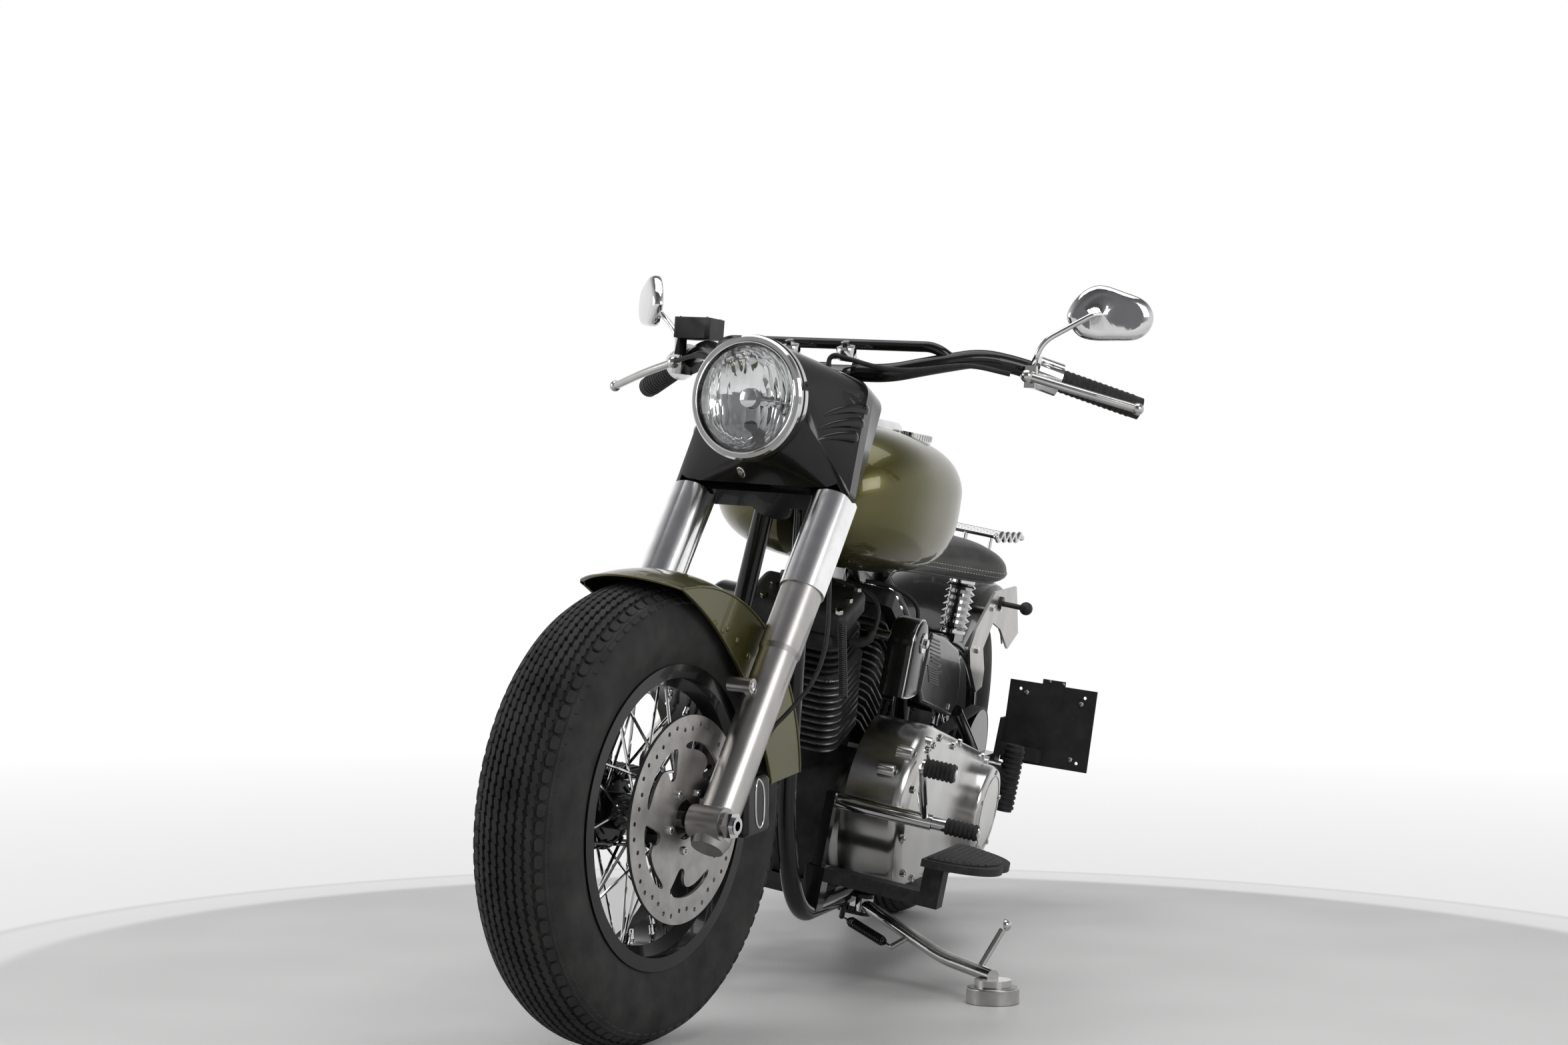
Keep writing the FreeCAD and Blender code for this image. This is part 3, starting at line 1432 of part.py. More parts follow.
def side_cover():
    # Shares of the cover's length from its back, and of its height
    outline_shares = [(0.95, 1.0), (0.60, 0.93), (0.22, 0.78), (0.095, 0.59), (0.0, 0.33), (0.016, 0.12), (0.09, 0.0),
                      (0.89, 0.23), (1.0, 0.37), (1.0, 0.90)]
    length = side_cover_front - side_cover_back
    height = side_cover_top - side_cover_low
    corners = [Vector(side_cover_back + along * length, side_cover_inner, side_cover_low + up * height)
               for along, up in outline_shares]
    plate = slab(corners, Vector(0, side_cover_outer - side_cover_inner, 0))
    face = side_cover_outer - fit_gap
    plate = plate.makeFillet(fin_corner * 0.25, [e for e in plate.Edges if e.BoundBox.YMin > face])
    start = rail_inner_half + frame_tube + fit_gap
    bosses = []
    for share in (0.52, 0.86):
        x = post_foot_x + share * (post_knee_x - post_foot_x)
        z = post_foot_z + share * (post_knee_z - post_foot_z)
        bosses.append(rod(Vector(x, start, z), Vector(x, side_cover_inner, z), side_cover_boss))
    return fused([plate] + bosses)


def horn():
    """Horn cover between the cylinders on the left, on a stay from the backbone."""
    top = Vector(horn_x, horn_y, horn_z)
    half = Vector(0, horn_depth / 2, 0)
    drum = rod(top - half, top + half, horn_radius)
    shade = box(Vector(horn_x - horn_radius, horn_y - horn_depth / 2, horn_z - horn_drop),
                Vector(horn_x + horn_radius, horn_y + horn_depth / 2, horn_z))
    arm = box(Vector(horn_x - horn_stay, -horn_stay, horn_z),
              Vector(horn_x + horn_stay, horn_y, horn_z + horn_stay))
    under = spine_height(horn_x - horn_stay) - backbone_height / 2 - fit_gap
    post = box(Vector(horn_x - horn_stay, -horn_stay, horn_z), Vector(horn_x + horn_stay, horn_stay, under))
    return fused([drum, shade, arm, post])


def regulator():
    body = box(Vector(regulator_x - fin_corner, -regulator_half, regulator_low),
               Vector(regulator_x, regulator_half, regulator_top))
    fins = [box(Vector(regulator_x, -regulator_half + index * fin_pitch, regulator_low),
                Vector(regulator_x + fin_corner * 0.5, -regulator_half + index * fin_pitch + fin_thickness, regulator_top))
            for index in range(int(regulator_half * 2 / fin_pitch))]
    return fused([body] + fins)


# Seat, springs, rear fender, struts and rack

def seat():
    """A saddle with a flat pan, wide at the back and narrow at the nose."""
    length = seat_nose - seat_tail
    wide = (seat_wide_x - seat_tail) / length
    # Shares of length, width and height, from the nose to the tail
    section_shares = [(1.0, 0.20, 0.30), (0.9, 0.30, 0.60), (0.6, 0.62, 0.85), (wide, 1.0, 1.0),
                      (wide * 0.5, 0.92, 0.96), (0.0, 0.55, 0.5)]
    sunk = seat_low - seat_sink
    height = (seat_high - sunk) / 2
    rings = [oval(Vector(seat_tail + length * along, 0, sunk + height * tall), Vector(0, 1, 0), Vector(0, 0, 1),
                  seat_half * width, height * tall, 2.6)
             for along, width, tall in section_shares]
    below = box(Vector(seat_tail - seat_half, -seat_half * 2, sunk - seat_half), Vector(seat_nose + seat_half, seat_half * 2, seat_low))
    return Part.makeLoft(rings, True, False).cut(below)


def seat_springs():
    """Two barrel coil springs, drawn by the outline of their turns, each between two cups."""
    foot = rear_rail_z + spring_perch + fit_gap
    height = seat_low - fit_gap - foot
    cup = spring_wire * 1.5
    pitch = (height - cup * 2) / spring_bars
    profile = [(0, 0), (0, spring_radius), (cup, spring_radius)]
    for index in range(spring_bars):
        start = cup + pitch * index
        profile += [(start, spring_radius - spring_wire), (start + pitch / 2, spring_radius + spring_wire)]
    profile += [(height - cup, spring_radius - spring_wire), (height - cup, spring_radius), (height, spring_radius),
                (height, 0)]
    return [spun(profile, Vector(rear_rail_x, side * spring_y, foot), Vector(0, 0, 1)) for side in (1, -1)]


def rear_fender():
    return arch(rear_axle, rear_fender_radius, rear_fender_half, rear_fender_skirt, fender_wall,
                -rear_fender_back_turn, rear_fender_front_turn + rear_fender_back_turn)


def fender_height(x, y):
    """Height of the rear fender's crown at a place."""
    crown = rear_fender_half * 0.24
    drop = crown * (y / rear_fender_half) ** 2
    return rear_tyre_radius + math.sqrt((rear_fender_radius - drop) ** 2 - x ** 2)


def strut_face():
    """How far out the struts' inner faces stand: just outside the rear rails."""
    return rear_rail_y() + rear_rail_tube + fit_gap


def struts():
    y = strut_face()
    # Shares of the fender's radius, ahead of and above the rear axle
    outline_shares = [(0.54, 0.73), (0.26, 0.917), (-0.25, 0.944), (-0.535, 0.683), (-0.333, 0.60), (-0.043, 0.715),
                      (0.167, 0.753), (0.29, 0.62), (0.156, 0.50), (0.13, 0.41), (0.25, 0.385), (0.51, 0.53),
                      (0.60, 0.62)]
    corners = [Vector(along * rear_fender_radius, y, rear_tyre_radius + up * rear_fender_radius)
               for along, up in outline_shares]
    pieces = [slab(corners, Vector(0, strut_thickness, 0))]
    # Bolt bosses on the fender's side, in the same shares
    for along, up in ((0.1, 0.80), (-0.30, 0.76)):
        x, z = along * rear_fender_radius, rear_tyre_radius + up * rear_fender_radius
        pieces.append(rod(Vector(x, rear_fender_half + fit_gap, z), Vector(x, y, z), strut_bolt))
    return both(fused(pieces))


def rack():
    """Two zig-zag side bars joined by straight cross bars, on four short feet."""
    bars = []
    length = rack_front - rack_back
    for side in (1, -1):
        points = [Vector(rack_front, side * rack_half, rack_z)]
        for index in range(rack_waves * 2):
            x = rack_front - length * (index + 1) / (rack_waves * 2 + 1)
            points.append(Vector(x, side * rack_half, rack_z + rack_bar * (2 if index % 2 else -2)))
        points.append(Vector(rack_back, side * rack_half, rack_z))
        bars.append(bent_tube(points, rack_bar, rack_bar * 2))
        bars += [ball(point, rack_bar * 1.2) for point in (points[0], points[-1])]
    for share in (0.0, 0.34, 0.66, 1.0):
        x = rack_back + length * share
        bars.append(rod(Vector(x, -rack_half, rack_z), Vector(x, rack_half, rack_z), rack_bar * 0.9))
    foot_y = rack_half * rack_foot_share
    for x in (rack_front, rack_back):
        top = fender_height(abs(x) - rack_bar, foot_y - rack_bar) + fit_gap
        for side in (1, -1):
            bars.append(rod(Vector(x, side * foot_y, top), Vector(x, side * foot_y, rack_z), rack_bar * 0.8))
    return fused(bars)


def rear_indicators():
    y = strut_face() + strut_thickness + fit_gap
    start = Vector(indicator_x, y, indicator_z)
    end = Vector(indicator_x, indicator_reach, indicator_z)
    plate = rod(start, start + Vector(0, strut_thickness, 0), indicator_ball)
    return both(fused([plate, rod(start, end, indicator_ball * 0.4), ball(end, indicator_ball)]))


def plate_holder():
    """A plain board for the number plate beside the rear wheel, on an arm from the left swing arm."""
    low = Vector(plate_x - plate_thickness, plate_y - plate_width / 2, plate_z - plate_height / 2)
    board = box(low, low + Vector(plate_thickness, plate_width, plate_height))
    tab_half = plate_width * 0.13
    tab = box(Vector(plate_x - plate_thickness, plate_y - tab_half, plate_z + plate_height / 2),
              Vector(plate_x, plate_y + tab_half, plate_z + plate_height / 2 + plate_bolt_hole * 3))
    holes = []
    for index in range(4):
        turn = math.radians(45 + 90 * index)
        hole = Vector(plate_x - plate_thickness * 2, plate_y + plate_bolt_radius * math.cos(turn),
                      plate_z + plate_bolt_radius * math.sin(turn))
        holes.append(rod(hole, hole + Vector(plate_thickness * 3, 0, 0), plate_bolt_hole))
    board = fused([board, tab]).cut(holes)
    board.rotate(Vector(plate_x, plate_y, plate_z), Vector(1, 0, 0), plate_tilt)
    face = swing_half + swing_width / 2 + fit_gap
    end_x = plate_x + swing_height
    arm = box(Vector(plate_x, face, rear_tyre_radius + swing_height / 2),
              Vector(end_x, plate_y, rear_tyre_radius + swing_height))
    web = box(Vector(plate_x, face, rear_tyre_radius), Vector(end_x, face + strut_thickness, plate_z))
    return fused([board, arm, web])


# Feet and controls

def board_plate():
    middle = (board_front + board_back) / 2
    half = (board_front - board_back) / 2
    front = Vector(board_front, board_inner, board_z)
    back = Vector(board_back, board_inner, board_z)
    edge = Vector(middle, board_inner + board_depth, board_z)
    quarter = Vector(middle + half * 0.9, board_inner + board_depth * 0.55, board_z)
    other = Vector(middle - half * 0.9, board_inner + board_depth * 0.55, board_z)
    wire = Part.Wire([arc_through(front, quarter, edge), arc_through(edge, other, back),
                      Part.LineSegment(back, front).toShape()])
    plate = Part.Face(wire).extrude(Vector(0, 0, -board_thickness))
    start = rail_half + frame_tube + fit_gap
    rib = board_inner + board_depth * 0.3
    low = board_bracket_top - board_plate_arm
    arm = box(Vector(board_bracket_x - board_bracket_half, start, low),
              Vector(board_bracket_x + board_bracket_half, rib, board_bracket_top))
    post = box(Vector(board_bracket_x - board_bracket_half, board_inner, low),
               Vector(board_bracket_x + board_bracket_half, rib, board_z - board_thickness))
    rail = box(Vector(board_back + board_depth * 0.5, board_inner, board_z - board_thickness * 2),
               Vector(board_bracket_x, rib, board_z - board_thickness))
    return fused([plate, arm, post, rail])


def floorboards():
    return both(board_plate())


def shifter():
    """Gear lever: a bar on its pivot with a rubber peg at each end."""
    pivot = Vector(shift_pivot_x, shift_y, shift_pivot_z)
    top = Vector(shift_top_x, shift_y, shift_top_z)
    arm = rod(pivot, top, shift_peg_radius * 0.5)
    start = rail_half + frame_tube / 2 + fit_gap
    knuckle = rod(Vector(pivot.x, start, pivot.z), pivot + Vector(0, shift_peg_radius, 0), shift_peg_radius)
    upper = rod(top, top + Vector(0, shift_peg_length, 0), shift_peg_radius)
    lower = rod(pivot, pivot + Vector(0, shift_peg_length * 1.7, 0), shift_peg_radius * 0.8)
    return fused([arm, knuckle, upper, lower])


def brake_pedal():
    """Rear brake pedal, pivoted ahead of the right board's arm."""
    pivot = Vector(board_bracket_x + board_bracket_half + fit_gap + shift_peg_radius, -brake_y, brake_pivot_z)
    top = Vector(shift_top_x, -brake_y, shift_top_z)
    arm = rod(pivot, top, shift_peg_radius * 0.7)
    knuckle = rod(pivot - Vector(0, shift_peg_radius, 0), Vector(pivot.x, -rail_half - frame_tube * 0.5, pivot.z),
                  shift_peg_radius)
    pad = box(top - Vector(shift_peg_radius, shift_peg_length, shift_peg_radius * 0.4),
              top + Vector(shift_peg_radius, shift_peg_radius, shift_peg_radius * 0.4))
    return fused([arm, knuckle, pad])


def peg(y, lug_z):
    """A passenger peg folded upright, on a lug from the swing arm."""
    post = rod(Vector(peg_x, y, peg_low), Vector(peg_x, y, peg_top), peg_radius)
    lug = box(Vector(peg_x - peg_lug, swing_half + swing_width / 2 + fit_gap, lug_z - peg_lug),
              Vector(peg_x + peg_lug, y, lug_z + peg_lug))
    return fused([post, lug])


def passenger_pegs():
    over_muffler = rear_muffler_z + muffler_radius + fit_gap + peg_lug
    return [peg(peg_y, rear_tyre_radius), mirrored(peg(right_peg_y, over_muffler))]


def belt():
    reach = belt_y - belt_width / 2
    inner = twin_outline(reach, (belt_front_x, belt_front_z, belt_front_radius + fit_gap),
                         (0, rear_tyre_radius, belt_pulley_radius + fit_gap))
    outer = twin_outline(reach, (belt_front_x, belt_front_z, belt_front_radius + belt_thickness),
                         (0, rear_tyre_radius, belt_pulley_radius + belt_thickness))
    depth = Vector(0, belt_width, 0)
    return outer.extrude(depth).cut(inner.extrude(depth))


def stand_pivot():
    return Vector(stand_pivot_x, stand_pivot_y, stand_pivot_z)


def stand_foot():
    return Vector(stand_foot_x, stand_foot_y, puck_height + stand_leg_radius * 1.4)


def stand_axis():
    """The stand folds about this axis, square to it both down and folded."""
    down = (stand_foot() - stand_pivot()).normalize()
    return down.cross(Vector(*stand_folded_share)).normalize()


def spring_points():
    start = Vector(stand_spring_x, stand_spring_y, stand_spring_z)
    end = Vector(stand_tab_x, stand_tab_y, stand_tab_z)
    return start, end


# Side stand, drawn where it stands on the road

def stand_leg():
    foot = stand_foot()
    pivot = stand_pivot()
    knee = Vector(stand_knee_x, stand_knee_y, stand_knee_z)
    toe = Vector(stand_toe_x, stand_toe_y, stand_toe_z)
    axis = stand_axis()
    eye = rod(pivot - axis * stand_eye_half, pivot + axis * stand_eye_half, stand_eye_radius)
    leg = bent_tube([pivot, knee, toe, foot], stand_leg_radius, stand_leg_radius * 3)
    pad = Part.makeCylinder(puck_radius * 0.7, stand_leg_radius,
                            Vector(stand_foot_x, stand_foot_y, puck_height + fit_gap))
    lever_foot = foot + (toe - foot).normalize() * puck_radius
    end = Vector(stand_ball_x, stand_ball_y, stand_ball_z)
    lever = rod(lever_foot, end, stand_leg_radius * 0.5)
    run = (toe - knee).normalize()
    spring_start, spring_end = spring_points()
    middle = knee + run * ((spring_end - knee).dot(run) + stand_leg_radius)
    hook = spring_end + (spring_end - spring_start).normalize() * (stand_tab_radius + fit_gap)
    tab = rod(hook, middle, stand_tab_radius)
    return fused([eye, leg, pad, lever, ball(end, stand_ball_radius), tab, ball(hook, stand_tab_radius)])


def stand_spring():
    start, end = spring_points()
    return rod(start, end, stand_spring_radius)


def puck():
    base = Vector(stand_foot_x, stand_foot_y, 0)
    body = Part.makeCylinder(puck_radius, puck_height, base)
    return body.makeFillet(puck_height * 0.12, [e for e in body.Edges if e.BoundBox.ZMin > puck_height - fit_gap])


def build_front_wheel():
    place = steering_place
    save("front_tyre", tyre(front_axle, front_tyre_radius, front_tyre_width), place)
    save("front_rim", rim(front_axle), place)
    save("front_spokes", spokes(front_axle, front_flange_reach), place)
    face = front_disc_reach - disc_thickness / 2
    save("front_hub", hub(front_axle, front_flange_reach, face, -cap_end, hub_flange_radius * 1.2), place)
    save("front_disc", disc(front_axle, front_disc_reach, front_disc_radius), place)


def build_rear_wheel():
    place = chassis_place
    save("rear_tyre", tyre(rear_axle, rear_tyre_radius, rear_tyre_width), place)
    save("rear_rim", rim(rear_axle), place)
    save("rear_spokes", spokes(rear_axle, rear_flange_reach), place)
    pulley_face = belt_y + belt_width / 2
    body = hub(rear_axle, rear_flange_reach, pulley_face, -rear_disc_reach + disc_thickness / 2, hub_radius)
    pulley = spun([(belt_y - belt_width / 2, hub_radius * 0.6), (belt_y - belt_width / 2, belt_pulley_radius),
                   (pulley_face, belt_pulley_radius), (pulley_face, hub_radius * 0.6)], rear_axle)
    save("rear_hub", fused([body, pulley]), place)
    save("rear_disc", disc(rear_axle, -rear_disc_reach, rear_disc_radius), place)


def build_fork():
    fork = steering_place.multiply(from_fork)
    cover = leg_cover()
    save("fork_sliders", [leg_shape(caliper_lugs(), 1), leg_shape([], -1)], fork)
    save("fork_covers", both(cover), fork)
    save("fork_yokes", yokes(), fork)
    save("nacelle", nacelle(), fork)
    shell, lens = headlamp()
    save("headlamp", shell, fork)
    save("headlamp_lens", lens, fork)
    save("bar_risers", risers(), fork)


def build_steering():
    save("handlebar", handlebar(), steering_place)
    save("grips", grips(), steering_place)
    save("levers", levers(), steering_place)
    right = fused([mirrored(control_housing()), reservoir()])
    save("hand_controls", [control_housing(), right], steering_place)
    save("mirrors", [mirror(left_mirror_turn), mirrored(mirror(right_mirror_turn))], steering_place)
    save("control_cables", control_cables(), steering_place)
    save("front_fender", front_fender(), steering_place)
    block = caliper(front_axle, front_disc_reach, front_disc_radius, front_caliper_turn, 1)
    save("front_caliper", block, steering_place)
    reach = Vector(0, front_axle_half, 0)
    axle = rod(front_axle - reach, front_axle + reach + Vector(0, front_nut_reach, 0), axle_radius)
    axle = axle.cut(rod(front_axle - reach * 2, front_axle + reach * 2, axle_bore))
    nut = hex_nut(front_axle + reach, front_nut_reach * 0.7, nut_flats, axle_radius * 0.9)
    save("front_axle", fused([axle, nut]), steering_place)


def build_engine():
    place = chassis_place
    save("crankcase", crankcase(), place)
    save("front_cylinder", cylinder_pair(1), place)
    save("rear_cylinder", cylinder_pair(-1), place)
    save("rocker_covers", [rocker_cover(1), rocker_cover(-1)], place)
    save("pushrod_tubes", pushrods(1) + pushrods(-1), place)
    save("primary_cover", primary_cover(), place)
    save("air_cleaner", air_cleaner(), place)
    save("exhaust", exhaust(), place)
    save("drive_belt", belt(), place)


def build_chassis():
    place = chassis_place
    save("frame", frame(), place)
    save("swingarm", swingarm(), place)
    save("oil_tank", oil_tank(), place)
    save("side_cover", side_cover(), place)
    save("horn", horn(), place)
    save("regulator", regulator(), place)
    save("fuel_tank", fuel_tank(), place)
    save("tank_console", console(), place)
    save("seat", seat(), place)
    save("seat_springs", seat_springs(), place)
    save("rear_fender", rear_fender(), place)
    save("fender_struts", struts(), place)
    save("rack", rack(), place)
    save("rear_indicators", rear_indicators(), place)
    save("plate_holder", plate_holder(), place)
    save("floorboards", floorboards(), place)
    save("foot_controls", [shifter(), brake_pedal()], place)
    save("passenger_pegs", passenger_pegs(), place)
    save("rear_caliper", rear_caliper(), place)
    reach = Vector(0, rear_axle_half, 0)
    axle = rod(rear_axle - Vector(0, rear_axle_right, 0), rear_axle + reach, axle_radius)
    cap = rod(rear_axle + reach, rear_axle + reach + Vector(0, axle_cover_length, 0), axle_cover_radius)
    axle = fused([axle, cap]).cut(rod(rear_axle - reach * 2, rear_axle + reach * 2, axle_bore))
    save("rear_axle", axle, place)


def build_stand():
    save("side_stand", stand_leg(), road_place)
    save("stand_puck", puck(), road_place)
    save("stand_spring", stand_spring(), road_place)


build_front_wheel()
build_rear_wheel()
build_fork()
build_steering()
build_engine()
build_chassis()
build_stand()
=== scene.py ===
import math
import bmesh
import bpy
from mathutils import Matrix, Vector
from mathutils.bvhtree import BVHTree


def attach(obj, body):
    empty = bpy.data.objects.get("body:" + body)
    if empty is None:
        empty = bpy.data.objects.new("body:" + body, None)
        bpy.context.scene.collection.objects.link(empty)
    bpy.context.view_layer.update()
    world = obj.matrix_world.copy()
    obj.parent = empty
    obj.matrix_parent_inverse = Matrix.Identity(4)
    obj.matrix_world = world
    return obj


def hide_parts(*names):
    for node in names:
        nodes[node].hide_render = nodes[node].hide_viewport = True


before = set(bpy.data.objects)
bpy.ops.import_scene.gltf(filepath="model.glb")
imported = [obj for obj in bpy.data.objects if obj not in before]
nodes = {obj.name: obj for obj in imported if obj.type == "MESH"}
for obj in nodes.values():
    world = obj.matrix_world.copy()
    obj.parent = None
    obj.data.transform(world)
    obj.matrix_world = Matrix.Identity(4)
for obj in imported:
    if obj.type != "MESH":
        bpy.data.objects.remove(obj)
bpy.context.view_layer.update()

mm = 0.001

# How the machine stands: these take a point of the upright machine, in millimetres
# from the floor under the rear axle, to the frame's metres.
standing = {
    "chassis": ((1.0, 0.0, -0.00169, -815.94184), (0.00033, 0.98096, 0.19423, -185.49991),
                (0.00166, -0.19423, 0.98095, 1.7145)),
    "steering": ((0.97597, 0.21729, -0.01613, -773.12915), (-0.21586, 0.9743, 0.06434, 199.74208),
                 (0.02969, -0.05931, 0.9978, -48.24101)),
    "side_stand": ((1, 0, 0, -816.5), (0, 1, 0, -185.5), (0, 0, 1, 0)),
}
standing["front_wheel"] = standing["steering"]
standing["rear_wheel"] = standing["chassis"]
places = {body: Matrix([[v * mm for v in row] for row in rows] + [[0, 0, 0, 1]])
          for body, rows in standing.items()}
rake = math.radians(31.0)
forkFoot = Vector((1782.0, 0, 0))
frontAxle = Vector((1635.0, 0, 335.0))
rearAxle = Vector((0, 0, 330.0))


def onFork(ahead, side, up):
    return forkFoot + Vector((math.cos(rake) * ahead - math.sin(rake) * up, side,
                              math.sin(rake) * ahead + math.cos(rake) * up))


# camera, as fitted to the photo
print("camera")
cameraSet = {"place": (4.6314, 1.2209, 0.7029), "yaw": 16.56, "pitch": 0.70, "roll": 0.49, "lens": 64.76,
             "sensor": 36.0, "photo": (2352, 1568)}
yaw, pitch, roll = (math.radians(cameraSet[k]) for k in ("yaw", "pitch", "roll"))
ahead = Vector((-math.cos(pitch) * math.cos(yaw), -math.cos(pitch) * math.sin(yaw), math.sin(pitch)))
flatRight = ahead.cross(Vector((0, 0, 1))).normalized()
flatUp = flatRight.cross(ahead)
camRight = flatRight * math.cos(roll) + flatUp * math.sin(roll)
camUp = flatUp * math.cos(roll) - flatRight * math.sin(roll)
cameraData = bpy.data.cameras.new("camera")
cameraData.sensor_width = cameraSet["sensor"]
cameraData.lens = cameraSet["lens"]
camera = bpy.data.objects.new("camera", cameraData)
cameraTurn = Matrix((camRight, camUp, -ahead)).transposed().to_4x4()
camera.matrix_world = Matrix.Translation(cameraSet["place"]) @ cameraTurn
bpy.context.scene.collection.objects.link(camera)
bpy.context.scene.camera = camera
bpy.context.scene.view_settings.view_transform = "Standard"

surfaces = {}


def treeOf(mesh):
    return BVHTree.FromPolygons([v.co for v in mesh.vertices], [tuple(p.vertices) for p in mesh.polygons])


def hitFrom(start, way, *names):
    # nearest hit on the named solids: its place, its normal on the near side, how far it is
    best = None
    for name in names:
        if name not in surfaces:
            surfaces[name] = treeOf(nodes[name].data)
        spot, normal, index, reach = surfaces[name].ray_cast(start, way)
        if spot is not None and (best is None or reach < best[2]):
            best = (spot, normal if normal.dot(way) < 0 else -normal, reach)
    return best


def sightTo(x, y):
    # from the camera through a pixel of the photo
    wide, high = cameraSet["photo"]
    focal = cameraSet["lens"] / cameraSet["sensor"] * wide
    return (ahead * focal + camRight * (x - wide / 2) - camUp * (y - high / 2)).normalized()


def seenAt(x, y, *names):
    return hitFrom(Vector(cameraSet["place"]), sightTo(x, y), *names)


def hitOn(body, start, way, *names):
    place = places[body]
    return hitFrom(place @ Vector(start), (place.to_3x3() @ Vector(way)).normalized(), *names)


# finishes: each a Principled shader with colour, roughness and relief from patterns on Object coordinates
print("finishes")


def addNode(made, kind, **values):
    node = made.node_tree.nodes.new(kind)
    for key, value in values.items():
        if key in node.inputs:
            node.inputs[key].default_value = value
        else:
            setattr(node, key, value)
    return node


def mathNode(tree, operation, *values):
    node = tree.nodes.new("ShaderNodeMath")
    node.operation = operation
    for socket, value in zip(node.inputs, values):
        if isinstance(value, (int, float)):
            socket.default_value = value
        else:
            tree.links.new(value, socket)
    return node.outputs["Value"]


def shadeRamp(made, source, *stops):
    # a colour ramp through (position, colour) stops
    ramp = addNode(made, "ShaderNodeValToRGB")
    bar = ramp.color_ramp.elements
    for stop, (at, colour) in zip((bar[0], bar[1]), (stops[0], stops[-1])):
        stop.position = at
        stop.color = (*colour, 1)
    for at, colour in stops[1:-1]:
        bar.new(at).color = (*colour, 1)
    made.node_tree.links.new(source, ramp.inputs["Fac"])
    return ramp.outputs["Color"]


def ranged(made, source, start=(0, 1), end=(0, 1)):
    # a value stretched from one range to another
    ends = dict(zip(("From Min", "From Max", "To Min", "To Max"), (*start, *end)))
    span = addNode(made, "ShaderNodeMapRange", **ends)
    made.node_tree.links.new(source, span.inputs["Value"])
    return span.outputs["Result"]


def pattern(made, kind, scale, detail=3.0, stretch=(1, 1, 1), turn=(0, 0, 0)):
    # a grey pattern on the piece's own coordinates
    link = made.node_tree.links.new
    where = addNode(made, "ShaderNodeTexCoord")
    moved = addNode(made, "ShaderNodeMapping", Scale=stretch, Rotation=turn)
    link(where.outputs["Object"], moved.inputs["Vector"])
    if kind == "cells":
        texture = addNode(made, "ShaderNodeTexVoronoi", Scale=scale)
    elif kind == "wave":
        texture = addNode(made, "ShaderNodeTexWave", Scale=scale, Detail=detail, Distortion=0.6)
    else:
        texture = addNode(made, "ShaderNodeTexNoise", Scale=scale, Detail=detail)
    link(moved.outputs["Vector"], texture.inputs["Vector"])
    return texture.outputs["Distance" if kind == "cells" else "Fac"]


def newFinish(name, colour, metal, rough, tones=None, polish=None, bumps=(), **sockets):
    # tones: a noise and its two colours; polish: a noise and its two roughnesses;
    # bumps: patterns, each with strength and depth
    made = bpy.data.materials.new(name)
    made.use_nodes = True
    link = made.node_tree.links.new
    shader = made.node_tree.nodes["Principled BSDF"].inputs
    shader["Base Color"].default_value = (*colour, 1)
    shader["Metallic"].default_value = metal
    shader["Roughness"].default_value = rough
    for socket, value in sockets.items():
        shader[socket.replace("_", " ")].default_value = value
    if tones:
        noise, low, high = tones
        link(shadeRamp(made, pattern(made, "noise", *noise), (0.3, low), (0.7, high)), shader["Base Color"])
    if polish:
        noise, low, high = polish
        link(ranged(made, pattern(made, "noise", *noise), end=(low, high)), shader["Roughness"])
    for shape, strength, depth in bumps:
        bump = addNode(made, "ShaderNodeBump", Strength=strength, Distance=depth)
        link(pattern(made, *shape), bump.inputs["Height"])
        if shader["Normal"].is_linked:
            link(shader["Normal"].links[0].from_socket, bump.inputs["Normal"])
        link(bump.outputs["Normal"], shader["Normal"])
    return made


def grey(value, warm=0.0):
    return (value * (1 + warm), value, value * (1 - warm))


oliveLacquer = newFinish("oliveLacquer", (0.078, 0.07, 0.014), 0.7, 0.34,
                         ((2600, 2), (0.062, 0.056, 0.01), (0.094, 0.084, 0.018)), ((900, 2), 0.28, 0.4),
                         Coat_Weight=0.6, Coat_Roughness=0.03)
glossBlack = newFinish("glossBlack", grey(0.008), 0.0, 0.2, ((14, 4), grey(0.004), grey(0.01)),
                       ((60, 4), 0.12, 0.24),
                       [(("noise", 420, 1), 0.05, 0.0004)],
                       Coat_Weight=0.25, Coat_Roughness=0.02, Specular_IOR_Level=0.22)
satinBlack = newFinish("satinBlack", grey(0.014), 0.0, 0.4, ((30, 5), grey(0.013), grey(0.03)),
                       ((90, 4), 0.32, 0.5),
                       [(("noise", 900, 3), 0.18, 0.0003)], Specular_IOR_Level=0.3)
wrinkleBlack = newFinish("wrinkleBlack", grey(0.014), 0.0, 0.5, ((40, 5), grey(0.008), grey(0.022, 0.03)),
                         ((160, 4), 0.4, 0.62), [(("cells", 620, 0), 0.35, 0.0006)], Specular_IOR_Level=0.3)
chrome = newFinish("chrome", grey(0.62), 1.0, 0.07, ((18, 5), grey(0.56), grey(0.66)), ((70, 5), 0.035, 0.11))
satinChrome = newFinish("satinChrome", grey(0.9), 1.0, 0.17, ((40, 3), grey(0.84), grey(0.95)))
wornChrome = newFinish("wornChrome", grey(0.42, 0.02), 1.0, 0.25, ((30, 4), grey(0.46, 0.02), grey(0.58)),
                       ((40, 4), 0.08, 0.2))
